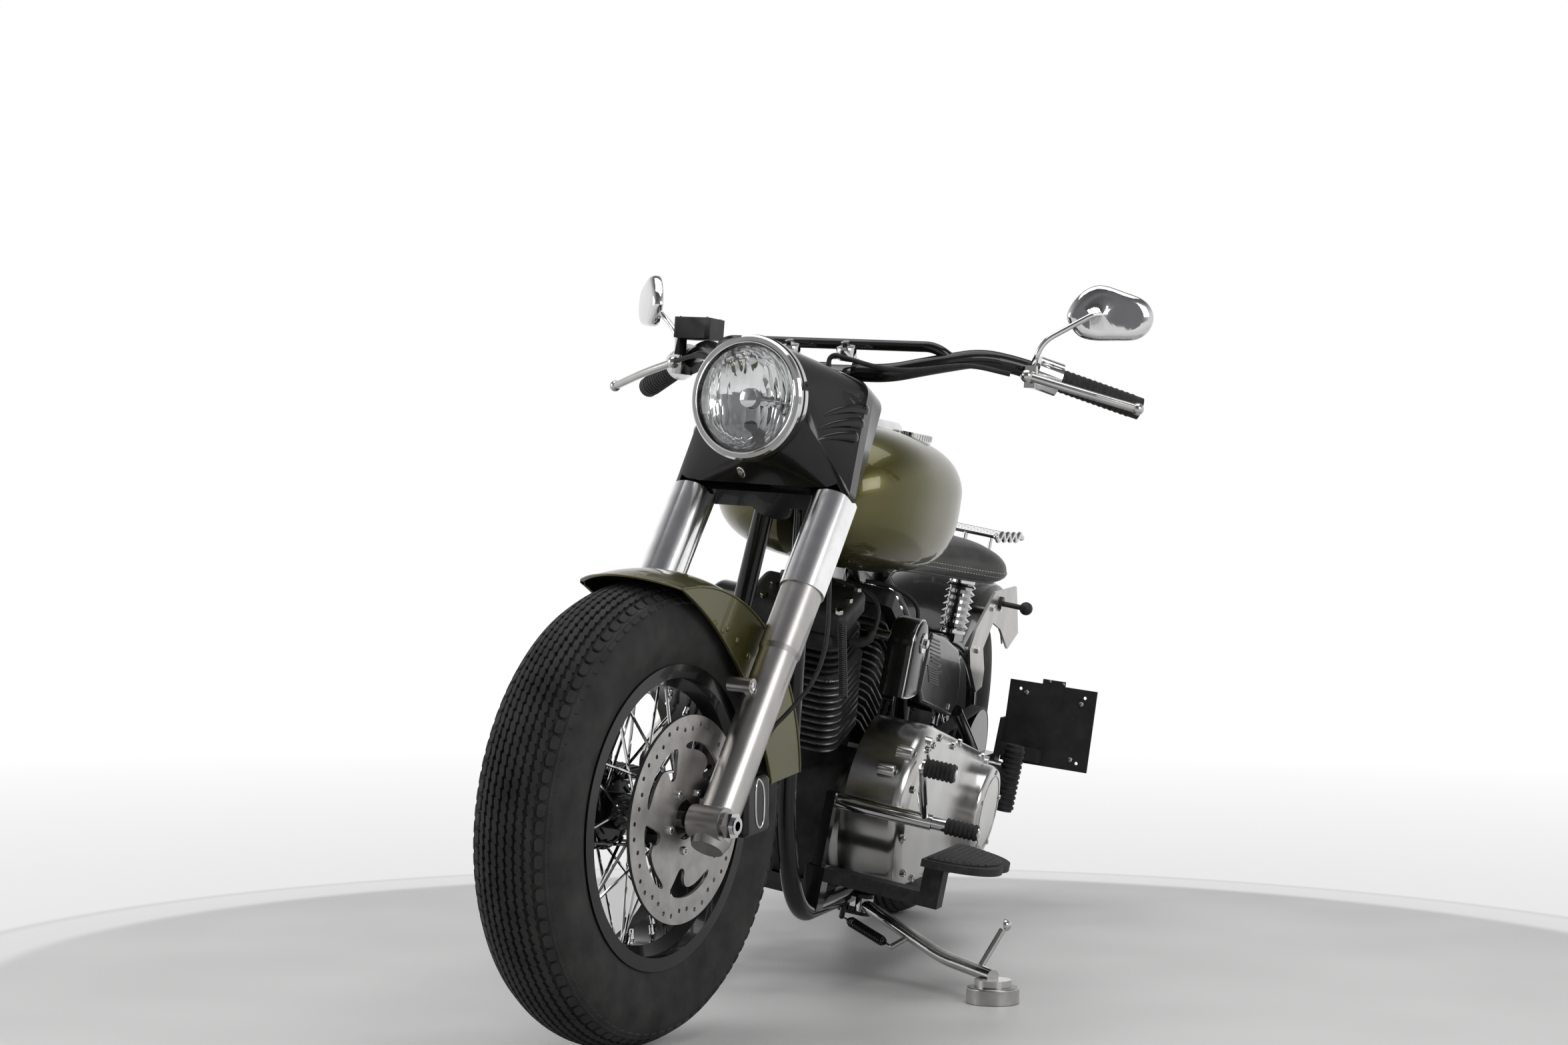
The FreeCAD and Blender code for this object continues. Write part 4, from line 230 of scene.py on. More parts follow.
# turned on the lathe: fine rings along the fork legs
turnedSatin = newFinish("turnedSatin", grey(0.42, 0.03), 1.0, 0.3,
                        ((26, 5, (1, 1, 0.3)), grey(0.36, 0.03), grey(0.46, 0.03)),
                        ((60, 4, (1, 1, 14), (0, 0.52, 0)), 0.24, 0.38),
                        [(("noise", 90, 3, (1, 1, 22), (0, 0.52, 0)), 0.08, 0.0002)])
satinSteel = newFinish("satinSteel", grey(0.4, 0.03), 1.0, 0.32,
                       ((40, 5), grey(0.33, 0.03), grey(0.46, 0.03)),
                       ((240, 4), 0.24, 0.42), [(("noise", 1200, 3), 0.08, 0.0002)])
polishedAlloy = newFinish("polishedAlloy", grey(0.5, 0.01), 1.0, 0.2,
                          ((12, 6), grey(0.42, 0.02), grey(0.56, 0.01)),
                          ((24, 6), 0.13, 0.3), [(("noise", 45, 4), 0.06, 0.0006)])
tyreRubber = newFinish("tyreRubber", grey(0.022), 0.0, 0.68, ((22, 6), grey(0.015), grey(0.036, 0.03)),
                       ((35, 5), 0.55, 0.8), [(("noise", 800, 4), 0.25, 0.0004)], Specular_IOR_Level=0.22)
mouldedRubber = newFinish("mouldedRubber", grey(0.018), 0.0, 0.6, ((60, 5), grey(0.012), grey(0.03)),
                          ((200, 4), 0.48, 0.72), [(("cells", 900), 0.15, 0.0003)], Specular_IOR_Level=0.25)
grainedPlastic = newFinish("grainedPlastic", grey(0.015), 0.0, 0.5, ((30, 4), grey(0.014), grey(0.028)),
                           ((300, 3), 0.4, 0.6), [(("cells", 1400), 0.2, 0.0003)], Specular_IOR_Level=0.25)
seatLeather = newFinish("seatLeather", grey(0.014), 0.0, 0.34,
                        ((45, 6), grey(0.012, 0.04), grey(0.032, 0.06)),
                        ((70, 5), 0.32, 0.55), [(("cells", 420), 0.35, 0.0006),
                                                (("noise", 26, 4), 0.2, 0.0015)],
                        Specular_IOR_Level=0.7, Sheen_Weight=0.08, Sheen_Roughness=0.4)
thread = newFinish("thread", (0.5, 0.46, 0.4), 0.0, 0.7, ((500, 3), (0.42, 0.39, 0.34), (0.6, 0.56, 0.5)),
                   bumps=[(("wave", 900), 0.4, 0.0002)])
lampGlass = newFinish("lampGlass", (0.97, 0.98, 0.98), 0.0, 0.02, polish=((30, 5), 0.0, 0.03),
                      bumps=[(("noise", 60, 1, (1, 0.25, 1)), 0.03, 0.0004)], IOR=1.5,
                      Transmission_Weight=1.0)
mirrorGlass = newFinish("mirrorGlass", grey(0.72), 1.0, 0.02, ((20, 4), grey(0.68), grey(0.75)),
                        ((50, 5), 0.01, 0.04))
beltFabric = newFinish("beltFabric", grey(0.02), 0.0, 0.62, ((130, 4), grey(0.012), grey(0.032)),
                       bumps=[(("noise", 700, 3), 0.25, 0.0003)])

# which finish each solid of the source wears
worn = (
    (glossBlack, "front_rim rear_rim front_hub rear_hub fork_yokes nacelle handlebar front_caliper "
                 "rear_caliper frame swingarm air_cleaner oil_tank side_cover horn rear_fender stand_spring"),
    (chrome, "front_spokes rear_spokes front_axle rear_axle headlamp bar_risers hand_controls mirrors "
             "pushrod_tubes exhaust tank_console seat_springs rack foot_controls"),
    (wrinkleBlack, "crankcase front_cylinder rear_cylinder rocker_covers"),
    (mouldedRubber, "grips control_cables floorboards passenger_pegs"),
    (satinSteel, "front_disc rear_disc stand_puck"), (tyreRubber, "front_tyre rear_tyre"),
    (turnedSatin, "fork_sliders fender_struts"), (satinChrome, "fork_covers"), (lampGlass, "headlamp_lens"),
    (polishedAlloy, "levers primary_cover"), (oliveLacquer, "front_fender fuel_tank"),
    (satinBlack, "regulator rear_indicators"), (seatLeather, "seat"), (grainedPlastic, "plate_holder"),
    (beltFabric, "drive_belt"), (wornChrome, "side_stand"),
)
for made, names in worn:
    for name in names.split():
        nodes[name].data.materials.clear()
        nodes[name].data.materials.append(made)

# studio: a pale round floor that turns into a glowing wall with painted shade, a white room, soft lamps
print("studio")
studioSet = {"floorHalf": 14.0, "floorDrop": 0.0008, "turntable": 1.45, "turntableEdge": 0.05, "wall": 4.0,
             "keyPower": 55, "topPower": 60, "sidePower": 25, "sky": 0.34}
floorMesh = bpy.data.meshes.new("floor")
half = studioSet["floorHalf"]
floorMesh.from_pydata([(-half, -half, 0), (half, -half, 0), (half, half, 0), (-half, half, 0)], [],
                      [(0, 1, 2, 3)])
floor = bpy.data.objects.new("floor", floorMesh)
floor.location.z = -studioSet["floorDrop"]
bpy.context.scene.collection.objects.link(floor)
floorFinish = newFinish("paleFloor", grey(0.62), 0.0, 0.45, ((3, 6), grey(0.58, 0.01), grey(0.66, 0.01)),
                        ((6, 6), 0.3, 0.55))
floorMesh.materials.append(floorFinish)


def mixedInto(made, share, first, second, end):
    blend = addNode(made, "ShaderNodeMixShader")
    for socket, source in zip(blend.inputs, (share, first, second)):
        made.node_tree.links.new(source, socket)
    made.node_tree.links.new(blend.outputs["Shader"], made.node_tree.nodes[end].inputs["Surface"])


floorTree = floorFinish.node_tree
where = addNode(floorFinish, "ShaderNodeTexCoord")
apart = addNode(floorFinish, "ShaderNodeVectorMath", operation="LENGTH")
floorTree.links.new(where.outputs["Object"], apart.inputs[0])
start = studioSet["turntable"]
fade = ranged(floorFinish, apart.outputs["Value"], (start, start + studioSet["turntableEdge"]))
rise = ranged(floorFinish, apart.outputs["Value"], (start, start + studioSet["wall"]))
# round wall, glowing: a grey skirting board, then a wall with painted shade, grey near the floor and
# brightening upwards to white
wall = shadeRamp(floorFinish, rise, (0.0, grey(0.6)), (0.008, grey(0.73)), (0.04, grey(0.75)),
                 (0.046, grey(0.66)),
                 (0.052, grey(0.82)), (1.0, grey(1.0)))
# past the floor's edge the wall glows with its painted shade, seen by camera and glossy rays
paintedWallGlow = addNode(floorFinish, "ShaderNodeEmission", Strength=1.0)
floorTree.links.new(wall, paintedWallGlow.inputs["Color"])
rays = addNode(floorFinish, "ShaderNodeLightPath").outputs
straight = mathNode(floorTree, "MAXIMUM", rays["Is Camera Ray"], rays["Is Glossy Ray"])
mixedInto(floorFinish, mathNode(floorTree, "MULTIPLY", fade, straight),
          floorTree.nodes["Principled BSDF"].outputs["BSDF"], paintedWallGlow.outputs["Emission"], "Material Output")

world = bpy.data.worlds.new("studioWorld")
bpy.context.scene.world = world
world.use_nodes = True
worldTree = world.node_tree
soft = worldTree.nodes["Background"]
soft.inputs["Color"].default_value = (0.97, 0.985, 1.0, 1)
soft.inputs["Strength"].default_value = studioSet["sky"]
bright = addNode(world, "ShaderNodeBackground", Strength=1.0)
rays = addNode(world, "ShaderNodeLightPath").outputs
straight = mathNode(worldTree, "MAXIMUM", rays["Is Camera Ray"], rays["Is Glossy Ray"])
straight = mathNode(worldTree, "MAXIMUM", straight, rays["Is Transmission Ray"])
lookWay = addNode(world, "ShaderNodeTexCoord")
split = addNode(world, "ShaderNodeSeparateXYZ")
worldTree.links.new(lookWay.outputs["Generated"], split.inputs["Vector"])
# the ceiling is dimmer than the white wall, and reflections also see the dim room in front of the machine
ceiling = shadeRamp(world, split.outputs["Z"], (0.28, grey(1.0)), (0.75, (0.16, 0.16, 0.17)))
front = mathNode(worldTree, "MULTIPLY_ADD", rays["Is Camera Ray"], -2.0, split.outputs["X"])
room = shadeRamp(world, front, (0.35, grey(1.0)), (0.85, (0.22, 0.22, 0.23)))
dimmed = addNode(world, "ShaderNodeVectorMath", operation="MULTIPLY")
worldTree.links.new(ceiling, dimmed.inputs[0])
worldTree.links.new(room, dimmed.inputs[1])
worldTree.links.new(dimmed.outputs["Vector"], bright.inputs["Color"])
mixedInto(world, straight, soft.outputs["Background"], bright.outputs["Background"], "World Output")


def softLamp(name, place, target, size, power):
    lamp = bpy.data.lights.new(name, "AREA")
    lamp.shape = "RECTANGLE"
    lamp.size, lamp.size_y = size
    lamp.energy = power
    made = bpy.data.objects.new(name, lamp)
    way = (Vector(target) - Vector(place)).to_track_quat("-Z", "Y")
    made.matrix_world = Matrix.Translation(place) @ way.to_matrix().to_4x4()
    bpy.context.scene.collection.objects.link(made)


softLamp("topLamp", (0.2, 0, 3.4), (0, 0, 0.5), (3.2, 2.4), studioSet["topPower"])
softLamp("keyLamp", (2.6, 3.2, 2.2), (0.4, 0, 0.6), (2.0, 1.6), studioSet["keyPower"])
softLamp("sideLamp", (1.5, -3.4, 1.8), (0.2, 0, 0.6), (2.0, 1.6), studioSet["sidePower"])

# shared makers
print("shared makers")


def newTree(name, inputs, kinds):
    # a geometry node tree with its inputs, and its nodes by label
    tree = bpy.data.node_groups.new(name, "GeometryNodeTree")
    tree.interface.new_socket("Geometry", in_out="INPUT", socket_type="NodeSocketGeometry")
    sockets = {}
    for label, kind in inputs.items():
        made = tree.interface.new_socket(label, in_out="INPUT", socket_type="NodeSocket" + kind)
        sockets[label] = made.identifier
    tree.interface.new_socket("Geometry", in_out="OUTPUT", socket_type="NodeSocketGeometry")
    parts = {"begin": "NodeGroupInput", "end": "NodeGroupOutput", **kinds}
    return tree, {label: tree.nodes.new(kind) for label, kind in parts.items()}, sockets


def wired(tree, made, *wires):
    # each wire reads "node.output > node.input"
    for wire in wires:
        (source, out), (target, into) = (end.split(".") for end in wire.split(" > "))
        tree.links.new(made[source].outputs[out], made[target].inputs[into])


# a piece repeated round a circle about Z; the piece's X points outwards
ringTree, ringNodes, ringSockets = newTree("roundTheRing", {
    "Piece": "Object", "Count": "Int", "Radius": "Float", "Height": "Float", "Turn": "Float",
    "Finish": "Material",
}, {
    "circle": "GeometryNodeMeshCircle", "piece": "GeometryNodeObjectInfo", "order": "GeometryNodeInputIndex",
    "facing": "ShaderNodeCombineXYZ", "spin": "FunctionNodeEulerToRotation",
    "copies": "GeometryNodeInstanceOnPoints", "shift": "GeometryNodeTransform",
    "lift": "ShaderNodeCombineXYZ",
    "swing": "ShaderNodeCombineXYZ", "swingTurn": "FunctionNodeEulerToRotation",
    "real": "GeometryNodeRealizeInstances", "paint": "GeometryNodeSetMaterial",
})
wired(ringTree, ringNodes, "begin.Count > circle.Vertices", "begin.Radius > circle.Radius",
      "begin.Piece > piece.Object", "facing.Vector > spin.Euler", "circle.Mesh > copies.Points",
      "piece.Geometry > copies.Instance", "spin.Rotation > copies.Rotation",
      "copies.Instances > real.Geometry",
      "real.Geometry > shift.Geometry", "begin.Height > lift.Z", "lift.Vector > shift.Translation",
      "begin.Turn > swing.Z", "swing.Vector > swingTurn.Euler", "swingTurn.Rotation > shift.Rotation",
      "shift.Geometry > paint.Geometry", "begin.Finish > paint.Material", "paint.Geometry > end.Geometry")
angle = mathNode(ringTree, "MULTIPLY", ringNodes["order"].outputs["Index"], 2 * math.pi)
angle = mathNode(ringTree, "DIVIDE", angle, ringNodes["begin"].outputs["Count"])
ringTree.links.new(angle, ringNodes["facing"].inputs["Z"])

# a piece set on each point: its Z along "facing", its X along "along", scaled by "size"
pointTree, pointNodes, pointSockets = newTree("onThePoints", {
    "Piece": "Object", "Scale": "Float", "Finish": "Material",
}, {
    "piece": "GeometryNodeObjectInfo", "facing": "GeometryNodeInputNamedAttribute",
    "along": "GeometryNodeInputNamedAttribute", "size": "GeometryNodeInputNamedAttribute",
    "up": "FunctionNodeAlignRotationToVector", "side": "FunctionNodeAlignRotationToVector",
    "copies": "GeometryNodeInstanceOnPoints", "real": "GeometryNodeRealizeInstances",
    "paint": "GeometryNodeSetMaterial",
})
pointFields = (("facing", "FLOAT_VECTOR"), ("along", "FLOAT_VECTOR"), ("size", "FLOAT"))
for label, kind in pointFields:
    pointNodes[label].data_type = kind
    pointNodes[label].inputs["Name"].default_value = label
pointNodes["up"].axis = "Z"
pointNodes["side"].axis = "X"
pointNodes["side"].pivot_axis = "Z"
wired(pointTree, pointNodes, "begin.Piece > piece.Object", "facing.Attribute > up.Vector",
      "up.Rotation > side.Rotation", "along.Attribute > side.Vector", "begin.Geometry > copies.Points",
      "piece.Geometry > copies.Instance", "side.Rotation > copies.Rotation",
      "copies.Instances > real.Geometry",
      "real.Geometry > paint.Geometry", "begin.Finish > paint.Material", "paint.Geometry > end.Geometry")
scaled = mathNode(pointTree, "MULTIPLY", pointNodes["size"].outputs["Attribute"],
                  pointNodes["begin"].outputs["Scale"])
pointTree.links.new(scaled, pointNodes["copies"].inputs["Scale"])


def evaluated(host):
    # the mesh that an object makes, which leaves the scene again
    bpy.context.scene.collection.objects.link(host)
    host.update_tag()
    mesh = bpy.data.meshes.new_from_object(host.evaluated_get(bpy.context.evaluated_depsgraph_get()))
    bpy.data.objects.remove(host)
    return mesh


def baked(name, host, tree, sockets, values):
    made = host.modifiers.new("nodes", "NODES")
    made.node_group = tree
    for label, value in values.items():
        made[sockets[label]] = value
    mesh = evaluated(host)
    mesh.name = name
    return mesh


def settled(name, mesh, body, finish, place=None, smooth=None, replaces=()):
    # mesh in upright millimetres (or where place puts it) becomes a piece that rides on its body
    mesh.transform(places[body] @ place if place is not None else places[body])
    return dressed(name, mesh, body, finish, smooth, replaces)


def dressed(name, mesh, body, finish, smooth=None, replaces=()):
    piece = bpy.data.objects.new(name, mesh)
    bpy.context.scene.collection.objects.link(piece)
    slots = [face.material_index for face in mesh.polygons]
    mesh.materials.clear()
    for made in (finish if isinstance(finish, list) else [finish]):
        mesh.materials.append(made)
    if len(mesh.materials) > 1:
        mesh.polygons.foreach_set("material_index", slots)
    if smooth is not None:
        mesh.polygons.foreach_set("use_smooth", [True] * len(mesh.polygons))
        mesh.set_sharp_from_angle(angle=math.radians(smooth))
    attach(piece, body)
    if replaces:
        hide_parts(*replaces)
    return piece


def released(work, mesh):
    work.to_mesh(mesh)
    work.free()
    return mesh


def solidCopy(node):
    # a solid's mesh to cut or paint, with its corners merged
    work = bmesh.new()
    work.from_mesh(nodes[node].data)
    bmesh.ops.remove_doubles(work, verts=work.verts, dist=0.00001)
    return work


def meshFrom(name, points, faces, merge=0.001):
    mesh = bpy.data.meshes.new(name)
    mesh.from_pydata([tuple(p) for p in points], [], faces)
    work = bmesh.new()
    work.from_mesh(mesh)
    if merge:
        bmesh.ops.remove_doubles(work, verts=work.verts, dist=merge)
    bmesh.ops.recalc_face_normals(work, faces=work.faces)
    return released(work, mesh)


def lofted(name, rings, bottom=True, merge=0.001):
    # a skin over rings of points, closed at the top and, unless told otherwise, at the bottom
    count, last = len(rings[0]), len(rings) - 1
    faces = [tuple(range(count))[::-1]] if bottom else []
    faces.append(tuple(range(last * count, (last + 1) * count)))
    for row in range(0, last * count, count):
        faces += [(row + k, row + (k + 1) % count, row + count + (k + 1) % count, row + count + k)
                  for k in range(count)]
    return meshFrom(name, [p for ring in rings for p in ring], faces, merge)


def around(centre, wide, tall, sides):
    # points of a round or oval outline
    turns = [2 * math.pi * k / sides for k in range(sides)]
    return [(centre[0] + wide * math.cos(turn), centre[1] + tall * math.sin(turn)) for turn in turns]


def turnedMesh(name, profile, steps=64, closed=False):
    # profile of (radius, height) turned about Z; radius 0 closes an end
    points, faces = [], []
    rows = len(profile)
    for step in range(steps):
        turn = 2 * math.pi * step / steps
        points += [(r * math.cos(turn), r * math.sin(turn), z) for r, z in profile]
    for step in range(steps):
        here, there = step * rows, (step + 1) % steps * rows
        for row in range(rows if closed else rows - 1):
            after = (row + 1) % rows
            faces.append((here + row, there + row, there + after, here + after))
    return meshFrom(name, points, faces)


def beadRing(name, radius, height, wide, tall, steps=96, sides=8):
    return turnedMesh(name, around((radius, height), wide, tall, sides), steps, closed=True)


def tubeMesh(name, points, radius, sides=12):
    # a round tube through points, closed at both ends; radius may be a list
    points = [Vector(p) for p in points]
    radii = radius if isinstance(radius, list) else [radius] * len(points)
    rings = []
    across = None
    for index, point in enumerate(points):
        run = (points[min(index + 1, len(points) - 1)] - points[max(index - 1, 0)]).normalized()
        across = run.orthogonal().normalized() if across is None else across
        across = (across - run * across.dot(run)).normalized()
        other = run.cross(across)
        rings.append([point + (across * x + other * y) * radii[index] for x,
                      y in around((0, 0), 1, 1, sides)])
    return lofted(name, rings)


def smoothTube(name, route, radius, resolution=10, rounding=3):
    # a round hose along a smooth curve
    shape = bpy.data.curves.new(name, "CURVE")
    shape.dimensions = "3D"
    spline = shape.splines.new("NURBS")
    spline.points.add(len(route) - 1)
    for point, spot in zip(spline.points, route):
        point.co = (*spot, 1)
    spline.order_u = 3
    spline.use_endpoint_u = True
    spline.resolution_u = resolution
    shape.bevel_depth = radius
    shape.bevel_resolution = rounding
    shape.use_fill_caps = True
    return evaluated(bpy.data.objects.new(name, shape))


def joined(name, meshes):
    work = bmesh.new()
    for mesh in meshes:
        work.from_mesh(mesh)
    return released(work, bpy.data.meshes.new(name))


def template(mesh):
    return bpy.data.objects.new(mesh.name, mesh)


def turnTo(way, across=None):
    # a turn that takes Z to way and X near across
    way = Vector(way).normalized()
    across = Vector(across) if across is not None else way.orthogonal()
    across = (across - way * across.dot(way)).normalized()
    return Matrix((across, way.cross(across), way)).transposed().to_4x4()


def ringOf(name, centre, way, piece, count, radius, height=0.0, turn=0.0, finish=None):
    host = bpy.data.objects.new(name, bpy.data.meshes.new(name))
    mesh = baked(name, host, ringTree, ringSockets, {
        "Piece": template(piece), "Count": count, "Radius": float(radius), "Height": float(height),
        "Turn": float(turn), "Finish": finish})
    upright = abs(Vector(way).normalized().x) < 0.9
    mesh.transform(Matrix.Translation(centre) @ turnTo(way, (1, 0, 0) if upright else (0, 0, 1)))
    return mesh


def pointsOf(name, body, spots, piece, finish, smooth=30):
    # spots: (place in metres, facing, along, size); the piece is in millimetres
    mesh = bpy.data.meshes.new(name)
    mesh.from_pydata([tuple(s[0]) for s in spots], [], [])
    for column, (label, kind) in enumerate(pointFields, 1):
        field = mesh.attributes.new(label, kind, "POINT")
        for entry, spot in zip(field.data, spots):
            if kind == "FLOAT":
                entry.value = spot[column]
            else:
                entry.vector = (spot[column] or Vector((0.3, 0.2, 0.93))).normalized()
    host = bpy.data.objects.new(name, mesh)
    result = baked(name, host, pointTree, pointSockets, {"Piece": template(piece), "Scale": mm,
                                                         "Finish": finish})
    return dressed(name, result, body, finish, smooth)


def spotsOf(hits, facing=None, rise=0.0, size=1.0):
    # hits as spots, lifted off the surface by rise metres
    return [(hit[0] + hit[1] * rise, facing or hit[1], None, size) for hit in hits if hit]


def spotsOn(body, starts, way, *names, facing=None, size=1.0):
    return spotsOf([hitOn(body, start, way, *names) for start in starts], facing, size=size)


def flankSpots(body, starts, node):
    # the same spot on both flanks, looked for from outside
    return [spot for x, y, z in starts for side in (1, -1)
            for spot in spotsOn(body, [(x, side * y, z)], (0, -side, 0), node)]


def leftSpots(points, node, facing=None):
    return spotsOn("chassis", [(x, 300, z) for x, z in points], (0, -1, 0), node, facing=facing)


def raised(spots, rise):
    return [(s[0] + s[1] * rise, *s[1:]) for s in spots]


def onCircle(x, y, radius, degrees):
    return x + radius * math.cos(math.radians(degrees)), y + radius * math.sin(math.radians(degrees))


# heads of fasteners, in millimetres, seen from +Z
def capScrew(radius, height):
    hole = radius * 0.52
    profile = [(radius, -1.0), (radius, height * 0.85), (radius * 0.88, height), (hole, height)]
    points, faces = [], []
    for step in range(12):
        turn = 2 * math.pi * step / 12
        points += [(r * math.cos(turn), r * math.sin(turn), z) for r, z in profile]
        flat = hole * (0.9 if step % 2 else 1.0)
        points.append((flat * math.cos(turn), flat * math.sin(turn), height * 0.35))
    for step in range(12):
        here, there = step * 5, (step + 1) % 12 * 5
        faces += [(here + k, there + k, there + k + 1, here + k + 1) for k in range(4)]
    faces.append(tuple(step * 5 + 4 for step in range(12)))
    return meshFrom("capScrew", points, faces)


def hexHead(radius, height, domed=0.0):
    points, faces = [], []
    for step in range(6):
        turn = math.pi * step / 3
        points += [(radius * math.cos(turn), radius * math.sin(turn), z) for z in (-1.0, height * 0.85)]
        points.append((radius * 0.86 * math.cos(turn), radius * 0.86 * math.sin(turn), height))
    for step in range(6):
        here, there = step * 3, (step + 1) % 6 * 3
        faces += [(here + k, there + k, there + k + 1, here + k + 1) for k in range(2)]
    points.append((0, 0, height + domed))
    faces += [(step * 3 + 2, (step + 1) % 6 * 3 + 2, 18) for step in range(6)]
    return meshFrom("hexHead", points, faces)


def rivetHead(radius, height):
    return turnedMesh("rivetHead", [(radius, -0.6), (radius * 0.94, height * 0.4),
                                    (radius * 0.6, height * 0.85),
                                    (0.0, height)], 10)


def fadeLine(start, end, share):
    return start + (end - start) * share


# tyres: a carcass with a grooved crown, saw-edged ribs and shoulder blocks
print("tyres")
tyreSet = {
    "front": {"centre": frontAxle, "radius": 335.0, "half": 69.0, "body": "front_wheel",
              "node": "front_tyre"},
    "rear": {"centre": rearAxle, "radius": 330.0, "half": 72.5, "body": "rear_wheel", "node": "rear_tyre"},
    "crown": 90.0, "groove": 5.0, "bead": 56.2, "seat": 203.3, "flange": 219.0, "play": 0.45,
    "ribs": (0.0, 12.5, 25.0, 37.5), "ribHalf": 4.5, "ribSaw": 2.3, "ribPitch": 15.0, "blockPitch": 24.0,
    # shoulder blocks: distance from the middle, half length, start in pitches, how far under the crown
    "blocks": ((50.5, 6.4, 0.0, 0.7), (61.0, 4.0, 0.5, 1.4)), "blockDepth": 5.0,
}
spun = turnTo((0, 1, 0), (1, 0, 0))


def crownDrop(along):
    return tyreSet["crown"] - math.sqrt(tyreSet["crown"] ** 2 - along ** 2)


def carcass(wheel):
    half, radius = wheel["half"], wheel["radius"]
    edge = half * 0.84
    edgeRadius = radius - crownDrop(edge)
    middle = (tyreSet["flange"] + edgeRadius) / 2
    crownRow, wallRow = [], []
    for k in range(13):
        along = edge * k / 12
        depth = tyreSet["groove"] * min(1.0, (edge - along) / 10.0)
        crownRow.append((radius - crownDrop(along) - depth, along))
    for k in range(1, 15):
        r = fadeLine(edgeRadius, tyreSet["flange"], k / 14)
        t = (r - middle) / (edgeRadius - middle)
        foot = edge if t > 0 else tyreSet["bead"]
        along = half - (half - foot) * abs(t) ** 2.0
        ridge = 0.7 if k in (3, 11) else 0.0
        wallRow.append((r, min(along + ridge, half)))
    right = crownRow + wallRow + [(tyreSet["seat"], tyreSet["bead"])]
    profile = right[::-1] + [(r, -along) for r, along in right[1:]]
    return turnedMesh("carcass", profile, 160, closed=True)


def ribLink(pitch, half, saw, depth):
    # outline in Y (round the tyre) and Z (across it), raised along X
    outline = [(-pitch / 2, -half), (-pitch * 0.1, -half + saw), (0, -half - saw * 0.3), (pitch / 2, -half),
               (pitch / 2, half), (pitch * 0.1, half - saw), (0, half + saw * 0.3), (-pitch / 2, half)]
    return lofted("ribLink", [[(-depth, y * 1.02, z * 1.12) for y, z in outline],
                              [(0.0, y, z * 0.94) for y, z in outline]], bottom=False)


def shoulderBlock(pitch, half, depth):
    outline = [(-0.4, -0.7), (-0.26, -1.0), (0.26, -1.0), (0.4, -0.7), (0.42, 0.2), (0.28, 1.0), (-0.28, 1.0),
               (-0.42, 0.2)]
    return lofted("shoulderBlock", [[(level, y * pitch * grow, z * half * grow) for y, z in outline]
                                    for level, grow in ((-depth, 1.05), (-1.0, 1.0), (0.0, 0.88))],
                                    bottom=False)


def treadRow(wheel, piece, along, count, radius, turn):
    # the piece, tilted with the crown, round the tyre at a distance from its middle
    piece.transform(Matrix.Rotation(-math.asin(along / tyreSet["crown"]), 4, "Y"))
    return ringOf(piece.name, wheel["centre"], (0, 1, 0), piece, count, radius, along, turn, tyreRubber)


for key in ("front", "rear"):
    wheel = tyreSet[key]
    core = carcass(wheel)
    core.transform(Matrix.Translation(wheel["centre"]) @ spun)
    settled(key + "TyreCarcass", core, wheel["body"], tyreRubber, smooth=50, replaces=[wheel["node"]])
    rows = []
    treadDepth = tyreSet["groove"] + 2.0
    for along in tyreSet["ribs"]:
        for sign in ((1, -1) if along else (1,)):
            radius = wheel["radius"] - crownDrop(along) - tyreSet["play"]
            count = int(2 * math.pi * radius / tyreSet["ribPitch"])
            link = ribLink(tyreSet["ribPitch"], tyreSet["ribHalf"], tyreSet["ribSaw"], treadDepth)
            rows.append(treadRow(wheel, link, along * sign, count, radius, 0.01 * along))
    for sign in (1, -1):
        for along, half, start, drop in tyreSet["blocks"]:
            radius = wheel["radius"] - (crownDrop(along) + drop)
            count = int(2 * math.pi * wheel["radius"] / tyreSet["blockPitch"])
            block = shoulderBlock(2 * math.pi * radius / count, half, tyreSet["blockDepth"])
            rows.append(treadRow(wheel, block, along * sign, count, radius, start * 2 * math.pi / count))
    settled(key + "TyreTread", joined(key + "Tread", rows), wheel["body"], tyreRubber, smooth=25)

# brake discs: drilled band with hooked windows
print("brake discs")
discSet = {"thick": 5.0, "inner": 28.5, "holeRadius": 3.4, "holeRows": (137.0, 129.5), "holes": 40,
           "windows": 5,
           "front": (frontAxle, 149.0, 82.5, "front_wheel", "front_disc"),
           "rear": (rearAxle, 146.0, -92.0, "rear_wheel", "rear_disc")}


def windowOutline(start, grow):
    # a comma: a long curved arm under the drilled band, with a hook towards the hub
    polar = [(0, 108), (10, 112), (30, 114), (50, 113), (60, 110), (63, 105), (58, 101), (44, 101), (30, 100),
             (24, 95), (22, 86), (24, 76), (21, 70), (14, 69), (9, 76), (5, 90)]
    return [(r * math.cos(math.radians(start + a)) * grow, r * math.sin(math.radians(start + a)) * grow)
            for a, r in polar]


def discMesh(radius):
    grow = radius / 149.0
    shape = bpy.data.curves.new("disc", "CURVE")
    shape.dimensions = "2D"
    shape.fill_mode = "BOTH"
    shape.extrude = discSet["thick"] / 2
    shape.resolution_u = 6

    def ring(points, kind="POLY"):
        spline = shape.splines.new(kind)
        spline.points.add(len(points) - 1)
        for point, (x, y) in zip(spline.points, points):
            point.co = (x, y, 0, 1)
        spline.use_cyclic_u = True
        if kind == "NURBS":
            spline.order_u = 3

    ring(around((0, 0), radius, radius, 144))
    ring(around((0, 0), discSet["inner"], discSet["inner"], 48))
    for k in range(discSet["holes"]):
        row = discSet["holeRows"][0 if k % 4 < 2 else 1] * grow
        turn = 2 * math.pi * k / discSet["holes"]
        hole = discSet["holeRadius"]
        ring(around((row * math.cos(turn), row * math.sin(turn)), hole, hole, 12))
    for k in range(discSet["windows"]):
        ring(windowOutline(360.0 * k / discSet["windows"], grow), "NURBS")
    return evaluated(bpy.data.objects.new("disc", shape))


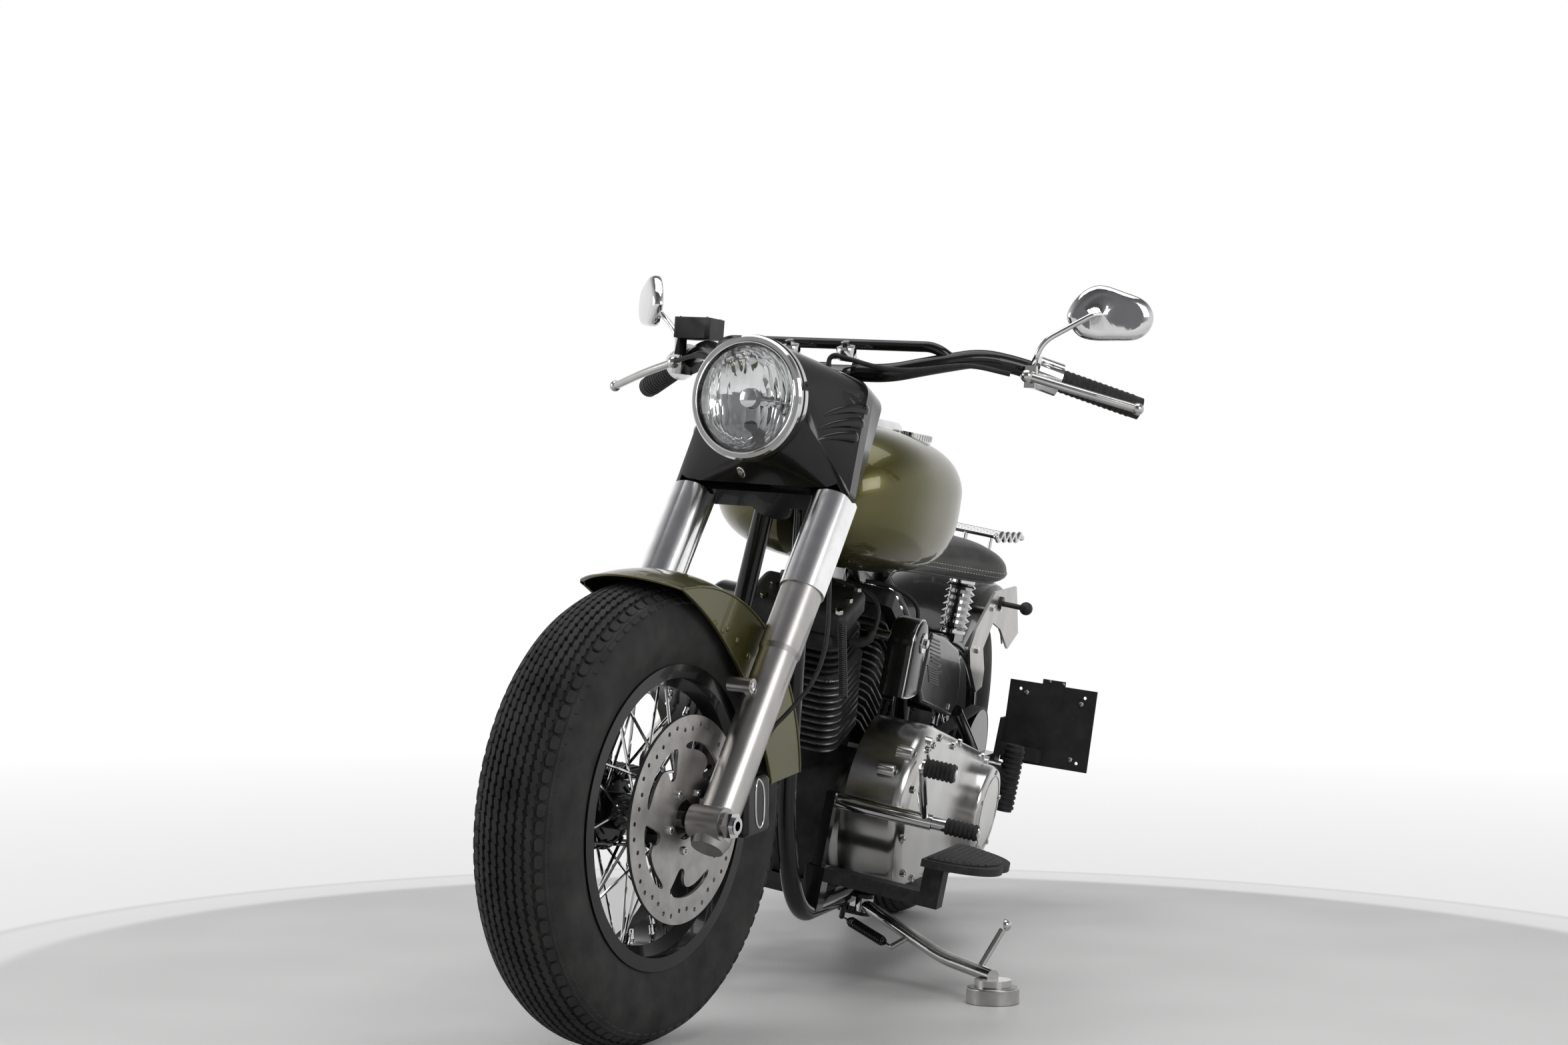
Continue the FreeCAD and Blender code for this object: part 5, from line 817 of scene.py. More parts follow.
for key in ("front", "rear"):
    centre, radius, reach, body, node = discSet[key]
    plate = discMesh(radius)
    plate.transform(Matrix.Translation(centre + Vector((0, reach, 0))) @ spun)
    settled(key + "BrakeDisc", plate, body, satinSteel, smooth=30, replaces=[node])
    side = 1 if reach > 0 else -1
    bolts = ringOf("discBolts", centre + Vector((0, reach + 2.5 * side, 0)), (0, side, 0),
                   capScrew(6.0, 4.0), 5, 44.0,
                   0.0, 0.3, chrome)
    settled(key + "DiscBolts", bolts, body, chrome, smooth=30)


def mirroredMesh(mesh, body):
    # the other side's copy of a settled mesh
    made = mesh.copy()
    flip = places[body] @ Matrix.Diagonal((1, -1, 1, 1)) @ places[body].inverted()
    made.transform(flip)
    made.flip_normals()
    return made


def mirroredSpot(spot, body):
    place = places[body]
    back, turn = place.inverted(), place.to_3x3().normalized()
    point = back @ Vector(spot[0])
    ways = [None if way is None else turn.inverted() @ Vector(way) for way in spot[1:3]]
    ways = [None if way is None else turn @ Vector((way.x, -way.y, way.z)) for way in ways]
    return (place @ Vector((point.x, -point.y, point.z)), *ways, *spot[3:])


def repainted(name, node, body, choose, made):
    # a copy of a solid whose faces take one of several finishes by where they are on the upright machine
    work = solidCopy(node)
    back = places[body].inverted()
    turn = back.to_3x3().normalized()
    for face in work.faces:
        face.material_index = choose(back @ face.calc_center_median(), turn @ face.normal)
    return dressed(name, released(work, bpy.data.meshes.new(name)), body, made, 35, replaces=[node])


def ridge(name, path, halves, heights, sides=8):
    # a raised rib along (place, normal) pairs, in metres; halves and heights run along it
    rings = []
    last = len(path) - 1
    for index, (spot, normal) in enumerate(path):
        run = (path[min(index + 1, last)][0] - path[max(index - 1, 0)][0]).normalized()
        across = normal.cross(run).normalized()
        half, height = (size(index / last) * mm for size in (halves, heights))
        turns = [math.pi * k / sides for k in range(sides + 1)]
        rings.append([spot + across * (math.cos(turn) * half) + normal * (math.sin(turn) ** 0.7 * height)
                      for turn in turns] + [spot - normal * 0.0012])
    return lofted(name, rings, merge=0)


def pathSeen(pixels, count, *names):
    # a line drawn between photo pixels, laid on the solids that carry it
    found = []
    spans = [(Vector(b) - Vector(a)).length for a, b in zip(pixels, pixels[1:])]
    whole = sum(spans)
    for index in range(count):
        reach = whole * index / (count - 1)
        for (a, b), span in zip(zip(pixels, pixels[1:]), spans):
            if reach <= span + 1e-6:
                break
            reach -= span
        at = Vector(a) + (Vector(b) - Vector(a)) * min(1.0, reach / span)
        hit = seenAt(at.x, at.y, *names)
        if hit is not None:
            found.append((hit[0], hit[1]))
    return found


# headlamp: reflector with flutes, bulb shield, side bulb
print("headlamp")
lampSet = {"ahead": 172.0, "up": 1006.0, "way": (0.99978, 0, 0.02094),
           "reflector": ((79, -8), (78, -15), (73, -25), (62, -37), (46, -47), (28, -53), (14, -55.5),
                         (0, -55.5)),
           "shield": ((0, -10), (9, -10.6), (14, -13), (15.5, -17), (15.5, -24), (13.5, -24), (13.5, -17),
                      (8, -14),
                      (0, -13)),
           "stem": ((0, -20), (4, -20), (5, -34), (7, -40), (7, -55), (0, -55)),
           "sideBulb": ((0, -26), (4, -27), (6, -31), (6, -38), (8, -40), (8, -44), (0, -44)),
           "sideBulbPlace": (-38, 8, 0)}
lampPlace = Matrix.Translation(onFork(lampSet["ahead"], 0, lampSet["up"])) @ turnTo(lampSet["way"], (0, 0, 1))
reflectorFinish = newFinish("reflector", grey(0.78), 1.0, 0.06, ((30, 4), grey(0.7), grey(0.82)),
                            ((60, 4), 0.03, 0.1), [(("wave", 26, 1, (0.001, 1, 0.12)), 0.75, 0.004),
                                                   (("cells", 46, 0, (1, 1.8, 0.5)), 0.6, 0.004)])
settled("headlampReflector", turnedMesh("reflector", lampSet["reflector"], 96), "steering", reflectorFinish,
        lampPlace, 40)
shield = [turnedMesh("shield", lampSet["shield"], 40), turnedMesh("stem", lampSet["stem"], 24)]
shield += [tubeMesh("arm", [(0, 14.5 * s, -22), (0, 24 * s, -40), (0, 27 * s, -52)], 1.0, 6) for s in (1, -1)]
settled("headlampShield", joined("shieldParts", shield), "steering", chrome, lampPlace, 30)
sideBulb = turnedMesh("sideBulb", lampSet["sideBulb"], 28)
sideBulb.transform(Matrix.Translation(lampSet["sideBulbPlace"]))
settled("headlampSideBulb", sideBulb, "steering", glossBlack, lampPlace, 30)
settled("headlampBead", beadRing("bead", 84.2, 0.4, 1.6, 1.6, 120), "steering", chrome, lampPlace, 40)
settled("headlampSeam", beadRing("seam", 95.4, -12, 0.9, 1.6, 120), "steering", satinBlack, lampPlace, 40)

# nacelle: louvres on each side, tab under the lamp; places are pixels of the photo
print("nacelle")
nacelleSet = {"tab": (1112, 708),
              "louvres": (((1233, 625), (1262, 614), (1303, 616)), ((1226, 645), (1255, 635), (1296, 637)),
                          ((1222, 661), (1250, 654), (1287, 657))),
              "louvreHalf": (1.4, 8.6, 0.75), "louvreHeight": (0.6, 9.0, 0.9), "louvreSteps": 18}


def swelling(start, gain, power):
    # a rib's size along its length: it grows from the tip and rounds off at the end
    return lambda s: start + gain * s ** power * min(1.0, math.sqrt(max(0.0, 1 - s)) * 3.2)


louvres = []
for pixels in nacelleSet["louvres"]:
    seen = pathSeen(pixels, 22, "nacelle")
    if len(seen) < 9:
        continue
    first, middle, last = seen[1][0], seen[len(seen) // 2][0], seen[-1][0]
    facing = sum((spot[1] for spot in seen), Vector()).normalized()
    line = []
    for k in range(nacelleSet["louvreSteps"] + 1):
        s = k / nacelleSet["louvreSteps"]
        bow = 4 * s * (1 - s)
        line.append((first.lerp(last, s) + (middle - first.lerp(last, 0.5)) * bow, facing))
    rib = ridge("louvre", line, swelling(*nacelleSet["louvreHalf"]), swelling(*nacelleSet["louvreHeight"]),
                12)
    louvres += [rib, mirroredMesh(rib, "steering")]
dressed("nacelleLouvres", joined("louvres", louvres), "steering", glossBlack, 50)
tabHit = [seenAt(*nacelleSet["tab"], "nacelle", "headlamp")]
tab = turnedMesh("tab", [(7.5, -3), (7.5, 1.4), (6.6, 2.2), (0, 2.2)], 28)
tab.transform(Matrix.Diagonal((1.35, 0.85, 1, 1)))
pointsOf("lampTab", "steering", [(s[0], s[1], Vector((0, 0, 1)), 1.0) for s in spotsOf(tabHit)], tab, chrome)
pointsOf("lampTabScrew", "steering", spotsOf(tabHit, rise=0.002), capScrew(3.4, 2.2), satinSteel)

# fork legs: socket screws in the bosses; front fender: rivets, some placed by their pixels in the photo
print("fork and fender")
forkSet = {"boss": (66, 200, 576), "rivets": ((1690, 640), (1652, 634), (1574, 604), (1530, 590)),
           "seenRivets": ((1073, 935), (1091, 943), (1122, 985)), "lipStep": 0.008, "lip": 2.0}
spots = flankSpots("steering", [onFork(*forkSet["boss"])], "fork_sliders")
pointsOf("legScrews", "steering", spots, capScrew(7.0, 2.2), chrome)
spots = spotsOn("steering", [(x, 220, z) for x, z in forkSet["rivets"]], (0, -1, 0), "front_fender")
spots += spotsOf([seenAt(x, y, "front_fender") for x, y in forkSet["seenRivets"]])
spots += [mirroredSpot(s, "steering") for s in spots]
pointsOf("fenderRivets", "steering", spots, rivetHead(5.0, 2.0), oliveLacquer, 60)


def sharpChains(node):
    # chains of a solid's sharp edges, longest first
    work = solidCopy(node)
    left = {e: True for e in work.edges if len(e.link_faces) == 2 and e.calc_face_angle(0) > 0.9}
    chains = []
    while left:
        edge = next(iter(left))
        del left[edge]
        chain = [edge.verts[0], edge.verts[1]]
        for end in (True, False):
            while True:
                tip = chain[-1] if end else chain[0]
                nxt = [e for e in tip.link_edges if e in left]
                if not nxt:
                    break
                del left[nxt[0]]
                other = nxt[0].other_vert(tip)
                if end:
                    chain.append(other)
                else:
                    chain.insert(0, other)
        chains.append([v.co.copy() for v in chain])
    work.free()
    return sorted(chains, key=lambda c: -sum((b - a).length for a, b in zip(c, c[1:])))


def evenly(line, step):
    # points a fixed step apart along a line
    out, carry = [line[0]], 0.0
    for a, b in zip(line, line[1:]):
        span = (b - a).length
        while span > 1e-9 and carry + span >= step:
            a = a + (b - a) * ((step - carry) / span)
            out.append(a)
            span = (b - a).length
            carry = 0.0
        carry += span
    return out


def metreTube(name, line, radius, sides):
    # a tube along a line in metres
    made = tubeMesh(name, [p * 1000 for p in line], radius, sides)
    made.transform(Matrix.Diagonal((mm, mm, mm, 1)))
    return made


# a rolled lip along the two longest edges of each fender
for key, node, body, finish in (("frontFender", "front_fender", "steering", oliveLacquer),
                                ("rearFender", "rear_fender", "chassis", glossBlack)):
    lines = [evenly(chain, forkSet["lipStep"]) for chain in sharpChains(node)[:2]]
    beads = [metreTube("bead", line, forkSet["lip"], 8) for line in lines if len(line) > 12]
    dressed(key + "Lip", joined(key + "Roll", beads), body, finish, 60)

# saddle: a padded top over its pan, stitched round its edge
print("saddle")
seatSet = {"voxel": 0.005, "inset": 0.004, "swell": 0.006, "frames": 20, "pressure": 4.0, "stitch": 0.0062,
           "stitchLength": 4.4, "stitchRows": (714.0, 722.0), "welt": 701.0, "weltRadius": 2.6,
           "middle": 420, "reach": 130}


def paddedFrom(name, node):
    # the solid pulled in, then puffed up by a cloth simulation and smoothed
    mesh = released(solidCopy(node), bpy.data.meshes.new(name))
    lump = bpy.data.objects.new(name, mesh)
    bpy.context.scene.collection.objects.link(lump)
    grain = lump.modifiers.new("grain", "REMESH")
    grain.mode = "VOXEL"
    grain.voxel_size = seatSet["voxel"]
    graph = bpy.context.evaluated_depsgraph_get()
    fine = bpy.data.meshes.new_from_object(lump.evaluated_get(graph))
    lump.modifiers.clear()
    normals = [v.normal.copy() for v in fine.vertices]
    for v, normal in zip(fine.vertices, normals):
        v.co -= normal * seatSet["inset"]
    lump.data = fine
    start = [v.co.copy() for v in fine.vertices]
    cloth = lump.modifiers.new("cloth", "CLOTH")
    cloth.settings.use_pressure = True
    cloth.settings.uniform_pressure_force = seatSet["pressure"]
    cloth.settings.effector_weights.gravity = 0
    for frameNumber in range(1, seatSet["frames"] + 1):
        bpy.context.scene.frame_set(frameNumber)
    graph = bpy.context.evaluated_depsgraph_get()
    puffed = bpy.data.meshes.new_from_object(lump.evaluated_get(graph))
    lump.modifiers.clear()
    bpy.context.scene.frame_set(1)
    for v, first, normal in zip(puffed.vertices, start, normals):
        move = v.co - first
        limit = seatSet["swell"] if normal.z > -0.3 else 0.001
        if move.length > limit:
            v.co = first + move.normalized() * limit
    lump.data = puffed
    soften = lump.modifiers.new("soften", "SMOOTH")
    soften.iterations = 6
    finer = lump.modifiers.new("finer", "SUBSURF")
    finer.levels = 1
    finer.render_levels = 1
    graph = bpy.context.evaluated_depsgraph_get()
    final = bpy.data.meshes.new_from_object(lump.evaluated_get(graph))
    bpy.data.objects.remove(lump)
    return final


saddleMesh = paddedFrom("saddlePad", "seat")
saddle = dressed("saddlePad", saddleMesh, "chassis", seatLeather, 60, replaces=["seat"])
saddleTree = treeOf(saddleMesh)


def saddleLine(height, count=220):
    # a closed line round the saddle at a height
    place = places["chassis"]
    found = []
    for k in range(count):
        turn = 2 * math.pi * k / count
        inner = place @ Vector((seatSet["middle"] + seatSet["reach"] * math.cos(turn), 0, height))
        way = (place.to_3x3() @ Vector((math.cos(turn), 1.15 * math.sin(turn), 0))).normalized()
        hit = saddleTree.ray_cast(inner + way * 0.5, -way)
        if hit[0] is not None:
            found.append(hit[0])
    return found + found[:1]


stitches = []
for height in seatSet["stitchRows"]:
    loop = evenly(saddleLine(height), seatSet["stitch"])
    for a, b in zip(loop, loop[1:]):
        near = saddleTree.find_nearest(a)
        stitches.append((near[0], near[1], b - a, 1.0))
stitch = turnedMesh("stitch", [(r, seatSet["stitchLength"] * share) for r, share in
                               ((0, -0.5), (0.5, -0.42), (0.65, 0), (0.5, 0.42), (0, 0.5))], 6)
stitch.transform(Matrix.Rotation(math.pi / 2, 4, "Y"))
pointsOf("saddleStitches", "chassis", stitches, stitch, thread, 60)
welt = metreTube("welt", saddleLine(seatSet["welt"], 160), seatSet["weltRadius"], 10)
dressed("saddleWelt", welt, "chassis", seatLeather, 60)

# engine: lighter fin edges, screws on the covers
print("engine")
engineSet = {"crank": Vector((830.0, 0, 285.0)), "lean": 22.5, "finHalf": (74.0, 82.0), "corner": 30.0}
finEdge = newFinish("finEdge", grey(0.16), 1.0, 0.34, ((80, 4), grey(0.1), grey(0.22)),
                    ((300, 3), 0.25, 0.45))


def cylinderWays(sign):
    # along and across the front (1) or rear (-1) cylinder
    turn = math.radians(engineSet["lean"]) * sign
    return Vector((math.sin(turn), 0, math.cos(turn))), Vector((math.cos(turn), 0, -math.sin(turn)))


def finChooser(sign):
    up, over = cylinderWays(sign)

    def choose(point, normal):
        reach = point - engineSet["crank"]
        a = abs(reach.dot(over)) - (engineSet["finHalf"][0] - engineSet["corner"])
        b = abs(reach.y) - (engineSet["finHalf"][1] - engineSet["corner"])
        out = math.hypot(max(a, 0), max(b, 0)) - engineSet["corner"]
        return 1 if out > -1.2 and abs(normal.dot(up)) < 0.5 else 0
    return choose


for key, sign in (("front", 1), ("rear", -1)):
    repainted(key + "CylinderDressed", key + "_cylinder", "chassis", finChooser(sign),
              [wrinkleBlack, finEdge])

# primary cover: screws round its edge, three lugs, derby screws, a seam
primarySet = {"rims": ((842, 330, 121, (60, 20, -20, -60, -95, 95)),
                       (436, 296, 97, (120, 160, 200, 240, 265, 95))),
              "rows": ((560, 640, 720), (430, 205)), "derby": (436, 296), "derbyScrews": 73, "derbyFace": 254,
              "lugs": ((1395, 1117), (1366, 1132), (1338, 1158))}
points = [onCircle(x, z, r, degrees) for x, z, r, turns in primarySet["rims"] for degrees in turns]
points += [(x, z) for x in primarySet["rows"][0] for z in primarySet["rows"][1]]
outward = (places["chassis"].to_3x3() @ Vector((0, 1, 0))).normalized()
pointsOf("primaryScrews", "chassis", leftSpots(points, "primary_cover", outward), capScrew(6.5, 5.0), chrome)
derbyX, derbyZ = primarySet["derby"]
points = [onCircle(derbyX, derbyZ, primarySet["derbyScrews"], 90 + 72 * k) for k in range(5)]
pointsOf("derbyScrews", "chassis", leftSpots(points, "primary_cover"), capScrew(4.6, 2.4), chrome)
derbyPlace = Matrix.Translation((derbyX, primarySet["derbyFace"], derbyZ)) @ turnTo((0, 1, 0))
settled("derbyRing", beadRing("groove", 66, 0.2, 0.9, 0.9), "chassis", satinSteel, derbyPlace, 60)
lugSpots = spotsOf([seenAt(x, y, "primary_cover") for x, y in primarySet["lugs"]], outward)
lug = turnedMesh("lug", [(13, -22), (12, -2), (11, 3), (9, 4.5), (0, 4.5)], 28)
pointsOf("primaryLugs", "chassis", lugSpots, lug, polishedAlloy, 40)
pointsOf("primaryLugScrews", "chassis", raised(lugSpots, 0.0045), capScrew(6.0, 5.0), chrome)

# hand controls: black reservoir and housings, ribbed grips, mirror glass
print("controls")
controlSet = {"reservoir": 1062.0, "housing": 312, "lidScrews": ((1079, 1120), (-251, -303)), "lens": 1085,
              "gripStart": (1040, 346, 1022), "gripEnd": (968, 446, 990), "ribPitch": 9.0, "gripRadius": 17.5}


def controlChoice(point, normal):
    return 1 if point.z > controlSet["reservoir"] or abs(point.y) < controlSet["housing"] else 0


def mirrorChoice(point, normal):
    return 1 if normal.x < -0.75 and point.z > controlSet["lens"] else 0


repainted("handControlsDressed", "hand_controls", "steering", controlChoice, [chrome, satinBlack])
starts = [(x, y, 1180) for x in controlSet["lidScrews"][0] for y in controlSet["lidScrews"][1]]
spots = spotsOn("steering", starts, (0, 0, -1), "hand_controls")
pointsOf("reservoirScrews", "steering", spots, capScrew(3.2, 1.6), chrome)
ribs = []
for side in (1, -1):
    a, b = (Vector((x, y * side, z)) for x, y, z in (controlSet["gripStart"], controlSet["gripEnd"]))
    count = int((b - a).length / controlSet["ribPitch"])
    for k in range(1, count):
        r = controlSet["gripRadius"]
        collar = turnedMesh("collar", [(r - 1, -2.4), (r + 0.7, -2), (r + 1, 0), (r + 0.7, 2), (r - 1, 2.4)],
                            28)
        collar.transform(Matrix.Translation(a + (b - a) * (k / count)) @ turnTo(b - a))
        ribs.append(collar)
settled("gripRibs", joined("gripRibs", ribs), "steering", mouldedRubber, smooth=40)
repainted("mirrorsDressed", "mirrors", "steering", mirrorChoice, [chrome, mirrorGlass])

# riser caps with their bolts
hits = [hitOn("steering", (1190, side * 50, 1100), (0, 0, -1), "bar_risers", "handlebar") for side in (1, -1)]
capWay = (places["steering"].to_3x3() @ Vector((0.35, 0, 1))).normalized()
caps = spotsOf(hits, capWay, rise=-0.002)
cap = turnedMesh("cap", [(16, -24), (16, 17), (14.5, 20), (11, 21), (0, 21)], 36)
pointsOf("riserCaps", "steering", caps, cap, chrome, 40)
pointsOf("riserBolts", "steering", raised(caps, 0.0208), hexHead(7.5, 7.5, 1.0), chrome)

# horn cover: a domed bell with a bright edge, on its stay
print("engine trim")
hornSet = {"centre": (832.0, 592.0), "radius": 47.5, "drop": 86.0, "trim": (158.5, 0.978),
           "plate": (832, 165, 600),
           "sections": ((116.5, 0.93), (119, 0.97), (126, 1.0), (150, 1.0), (158, 0.975), (163, 0.9),
                        (165.4, 0.7))}


def hornOutline(y, grow):
    # an arch with a nearly straight foot, across the machine at y
    x0, z0 = hornSet["centre"]
    r = hornSet["radius"] * grow
    line = [(x0 + r * math.cos(math.pi * k / 24), z0 + r * math.sin(math.pi * k / 24)) for k in range(25)]
    low = z0 - hornSet["drop"] + (1 - grow) * 40
    line += [(x0 - r * (0.98 - 0.05 * k / 6), z0 - (z0 - low) * k / 6) for k in range(1, 7)]
    line += [(x0 - r * 0.93 + 2 * r * 0.93 * k / 8, low - 2.5 * math.sin(math.pi * k / 8) * grow)
             for k in range(1, 8)]
    line += [(x0 + r * (0.93 + 0.05 * k / 6), low + (z0 - low) * k / 6) for k in range(0, 6)]
    return [Vector((x, y, z)) for x, z in line]


rings = [hornOutline(*section) for section in hornSet["sections"]]
settled("hornCover", lofted("hornCover", rings), "chassis", glossBlack, smooth=35)
trimLine = hornOutline(*hornSet["trim"])
settled("hornTrim", tubeMesh("hornTrim", trimLine + trimLine[:1], 1.6, 8), "chassis", chrome, smooth=60)
work = solidCopy("horn")
back = places["chassis"].inverted()
gone = [f for f in work.faces if (back @ f.calc_center_median()).y > 60]
bmesh.ops.delete(work, geom=gone, context="FACES")
dressed("hornStay", released(work, bpy.data.meshes.new("hornStay")), "chassis", chrome, 35, replaces=["horn"])
arm = tubeMesh("arm", [(832, 50, 597), (832, 90, 600), (832, 122, 600)], 8.5, 16)
plate = turnedMesh("plate", [(17, 0), (18, 1), (18, 3), (17, 4), (0, 4)], 32)
platePlace = Matrix.Translation(hornSet["plate"]) @ turnTo((0, 1, 0))
plate.transform(platePlace)
settled("hornArm", joined("hornArm", [arm, plate]), "chassis", chrome, smooth=40)
boltPlace = platePlace @ Matrix.Translation((0, 0, 4))
settled("hornBolt", hexHead(8.5, 6, 1.2), "chassis", chrome, boltPlace, 30)

# rocker covers: bolts; spark plug leads with their boots
rockerSet = {"up": 470, "across": (-48, 0, 48), "sides": (-66, 64), "plugUp": 335, "plugSide": 86}
spots = []
for sign in (1, -1):
    up, over = cylinderWays(sign)
    starts = [engineSet["crank"] + up * rockerSet["up"] + over * a + Vector((0, y, 0))
              for a in rockerSet["across"] for y in rockerSet["sides"]]
    spots += spotsOn("chassis", starts, -up, "rocker_covers")
pointsOf("rockerBolts", "chassis", spots, hexHead(7.0, 6.0), chrome)
for key, sign in (("front", 1), ("rear", -1)):
    up, over = cylinderWays(sign)
    foot = engineSet["crank"] + up * rockerSet["plugUp"] + over * (20 * sign)
    foot += Vector((0, rockerSet["plugSide"], 0))
    top = foot + Vector((-4 * sign, 28, 26))
    bootLine = [foot - Vector((0, 6, 0)), foot + Vector((0, 14, 4)), foot + Vector((0, 24, 12)), top]
    boot = tubeMesh("boot", bootLine, [8.0, 8.0, 7.0, 5.0], 14)
    leadLine = [top + Vector((x * sign, y, z)) for x, y, z in
                ((0, 0, 0), (-4, 4, 26), (-22, -14, 54), (-44, -60, 66), (-50, -92, 64))]
    lead = smoothTube("lead", leadLine, 3.6, 12, 4)
    settled(key + "PlugLead", joined(key + "Lead", [boot, lead]), "chassis", mouldedRubber, smooth=50)

# side cover: two slotted patches, placed by their pixels in the photo, and its screws
coverSet = {"patches": (((1402, 957), (1404, 998)), ((1398, 1000), (1400, 1027))), "bars": 7,
            "barReach": (7, 3),
            "screws": ((470, 470), (660, 470), (560, 596))}
bars = []
for start, end in coverSet["patches"]:
    for k in range(coverSet["bars"]):
        middle = Vector(start).lerp(Vector(end), (k + 0.5) / coverSet["bars"])
        reach = Vector(coverSet["barReach"])
        line = pathSeen([middle - reach, middle + reach], 6, "side_cover")
        if len(line) > 3:
            bars.append(ridge("bar", line, lambda s: 1.4, lambda s: 1.5, 4))
dressed("sideCoverLouvres", joined("sideCoverLouvres", bars), "chassis", satinBlack, 40)
spots = leftSpots(coverSet["screws"], "side_cover")
pointsOf("sideCoverScrews", "chassis", spots, capScrew(5.5, 2.4), chrome)

# gear lever and pegs: rubber sleeves with rings; boards with a ribbed pad
print("foot controls")
footSet = {"gearPegs": (((1092, 270, 428), 50, 15.4, 8.0), ((1000, 302, 332), 54, 13.6, 7.5)), "gearRings": 7,
           "pegs": ((150, 224, 272), (150, -264, 272)), "pegLength": 120, "pegRadius": 20.0, "pegRings": 12,
           "rod": ((1012, 262, 345), (1008, 250, 372), (962, 246, 420), (936, 236, 428)), "rodRadius": 4.0,
           "board": (929, 290), "boardHalf": (124, 100), "ribs": 9, "ribPitch": 9.5}


def sleeve(start, run, radius, count):
    # a ribbed rubber sleeve from start along run
    step = run.length / count
    profile = [(0, -0.5)]
    for k in range(count):
        profile += [(radius * grow, step * (k + share)) for grow, share in
                    ((0.88, 0.05), (1, 0.18), (1, 0.58), (0.88, 0.76))]
    profile += [(radius * 0.88, run.length), (0, run.length + 0.5)]
    mesh = turnedMesh("sleeve", profile, 28)
    mesh.transform(Matrix.Translation(start) @ turnTo(run))
    return mesh


sleeves, buttons = [], []
for start, length, radius, r in footSet["gearPegs"]:
    run = Vector((0, length, 0))
    sleeves.append(sleeve(start, run, radius, footSet["gearRings"]))
    button = turnedMesh("button", [(r, -1), (r, 1.2), (r * 0.8, 2.2), (0, 2.2)], 24)
    button.transform(Matrix.Translation(Vector(start) + run) @ turnTo((0, 1, 0)))
    buttons.append(button)
settled("gearPegRubbers", joined("gearPegRubbers", sleeves), "chassis", mouldedRubber, smooth=35)
settled("gearPegButtons", joined("gearPegButtons", buttons), "chassis", chrome, smooth=40)
pegs = [sleeve(start, Vector((0, 0, footSet["pegLength"])), footSet["pegRadius"], footSet["pegRings"])
        for start in footSet["pegs"]]
settled("passengerPegRubbers", joined("passengerPegRubbers", pegs), "chassis", mouldedRubber, smooth=35)
settled("shiftRod", tubeMesh("shiftRod", footSet["rod"], footSet["rodRadius"], 12), "chassis", chrome,
        smooth=50)

boardPads = []
boardX, boardY = footSet["board"]
long, wide = footSet["boardHalf"]
for side in (1, -1):
    hit = hitOn("chassis", (boardX + 1, side * 330, 400), (0, 0, -1), "floorboards")
    top = (places["chassis"].inverted() @ hit[0]).z
    turns = [math.pi * k / 32 for k in range(33)]
    rings = []
    for level, grow in ((top - 0.5, 0.95), (top + 2.2, 0.95), (top + 3.2, 0.92)):
        rings.append([(boardX + long * math.cos(turn) * grow,
                       side * (boardY + 2 + wide * math.sin(turn) ** 0.9 * grow), level) for turn in turns])
    boardPads.append(lofted("pad", rings, bottom=False))
    for k in range(footSet["ribs"]):
        y = boardY + 10 + k * footSet["ribPitch"]
        reach = long * math.sqrt(max(0.0, 1 - ((y - boardY + 2) / (wide + 2)) ** 2)) * 0.9
        if reach > 12:
            rib = [(boardX - reach, side * y, top + 3.0), (boardX + reach, side * y, top + 3.0)]
            boardPads.append(tubeMesh("rib", rib, 1.6, 6))
settled("boardPads", joined("boardPads", boardPads), "chassis", mouldedRubber, smooth=35)

# side stand: a coil spring between its two hooks
print("stand")
springSet = {"start": Vector((835, 146, 94)), "end": Vector((905, 245, 60)), "radius": 7.6, "wire": 1.5,
             "turns": 22}
start, run = springSet["start"], springSet["end"] - springSet["start"]
coil = [start + run * 0.02, start + run * 0.1]
steps = springSet["turns"] * 12
for k in range(steps + 1):
    share = k / steps
    turn = 2 * math.pi * springSet["turns"] * share
    r = springSet["radius"] * min(1.0, 0.35 + 8 * min(share, 1 - share))
    bend = turnTo(run).to_3x3() @ Vector((r * math.cos(turn), r * math.sin(turn), 0))
    coil.append(start + run * (0.1 + 0.8 * share) + bend)
coil += [start + run * 0.9, start + run * 0.98]
settled("standCoil", tubeMesh("standCoil", coil, springSet["wire"], 6), "side_stand", glossBlack, smooth=60,
        replaces=["stand_spring"])

# number plate holder: four nuts at its corners, two small ones above
plateSet = {"middle": (240, 426), "nuts": 55.9, "smallNuts": 14, "smallUp": 513, "smallSize": 0.6}
plateY, plateZ = plateSet["middle"]
reach = plateSet["nuts"]
starts = [(60, plateY + dy * reach, plateZ + dz * reach) for dz in (1, -1) for dy in (-1, 1)]
spots = spotsOn("chassis", starts, (-1, 0, 0), "plate_holder")
starts = [(60, plateY + dy * plateSet["smallNuts"], plateSet["smallUp"]) for dy in (-1, 1)]
spots += spotsOn("chassis", starts, (-1, 0, 0), "plate_holder", size=plateSet["smallSize"])
pointsOf("plateScrews", "chassis", spots, hexHead(5.0, 3.0, 0.8), satinSteel)

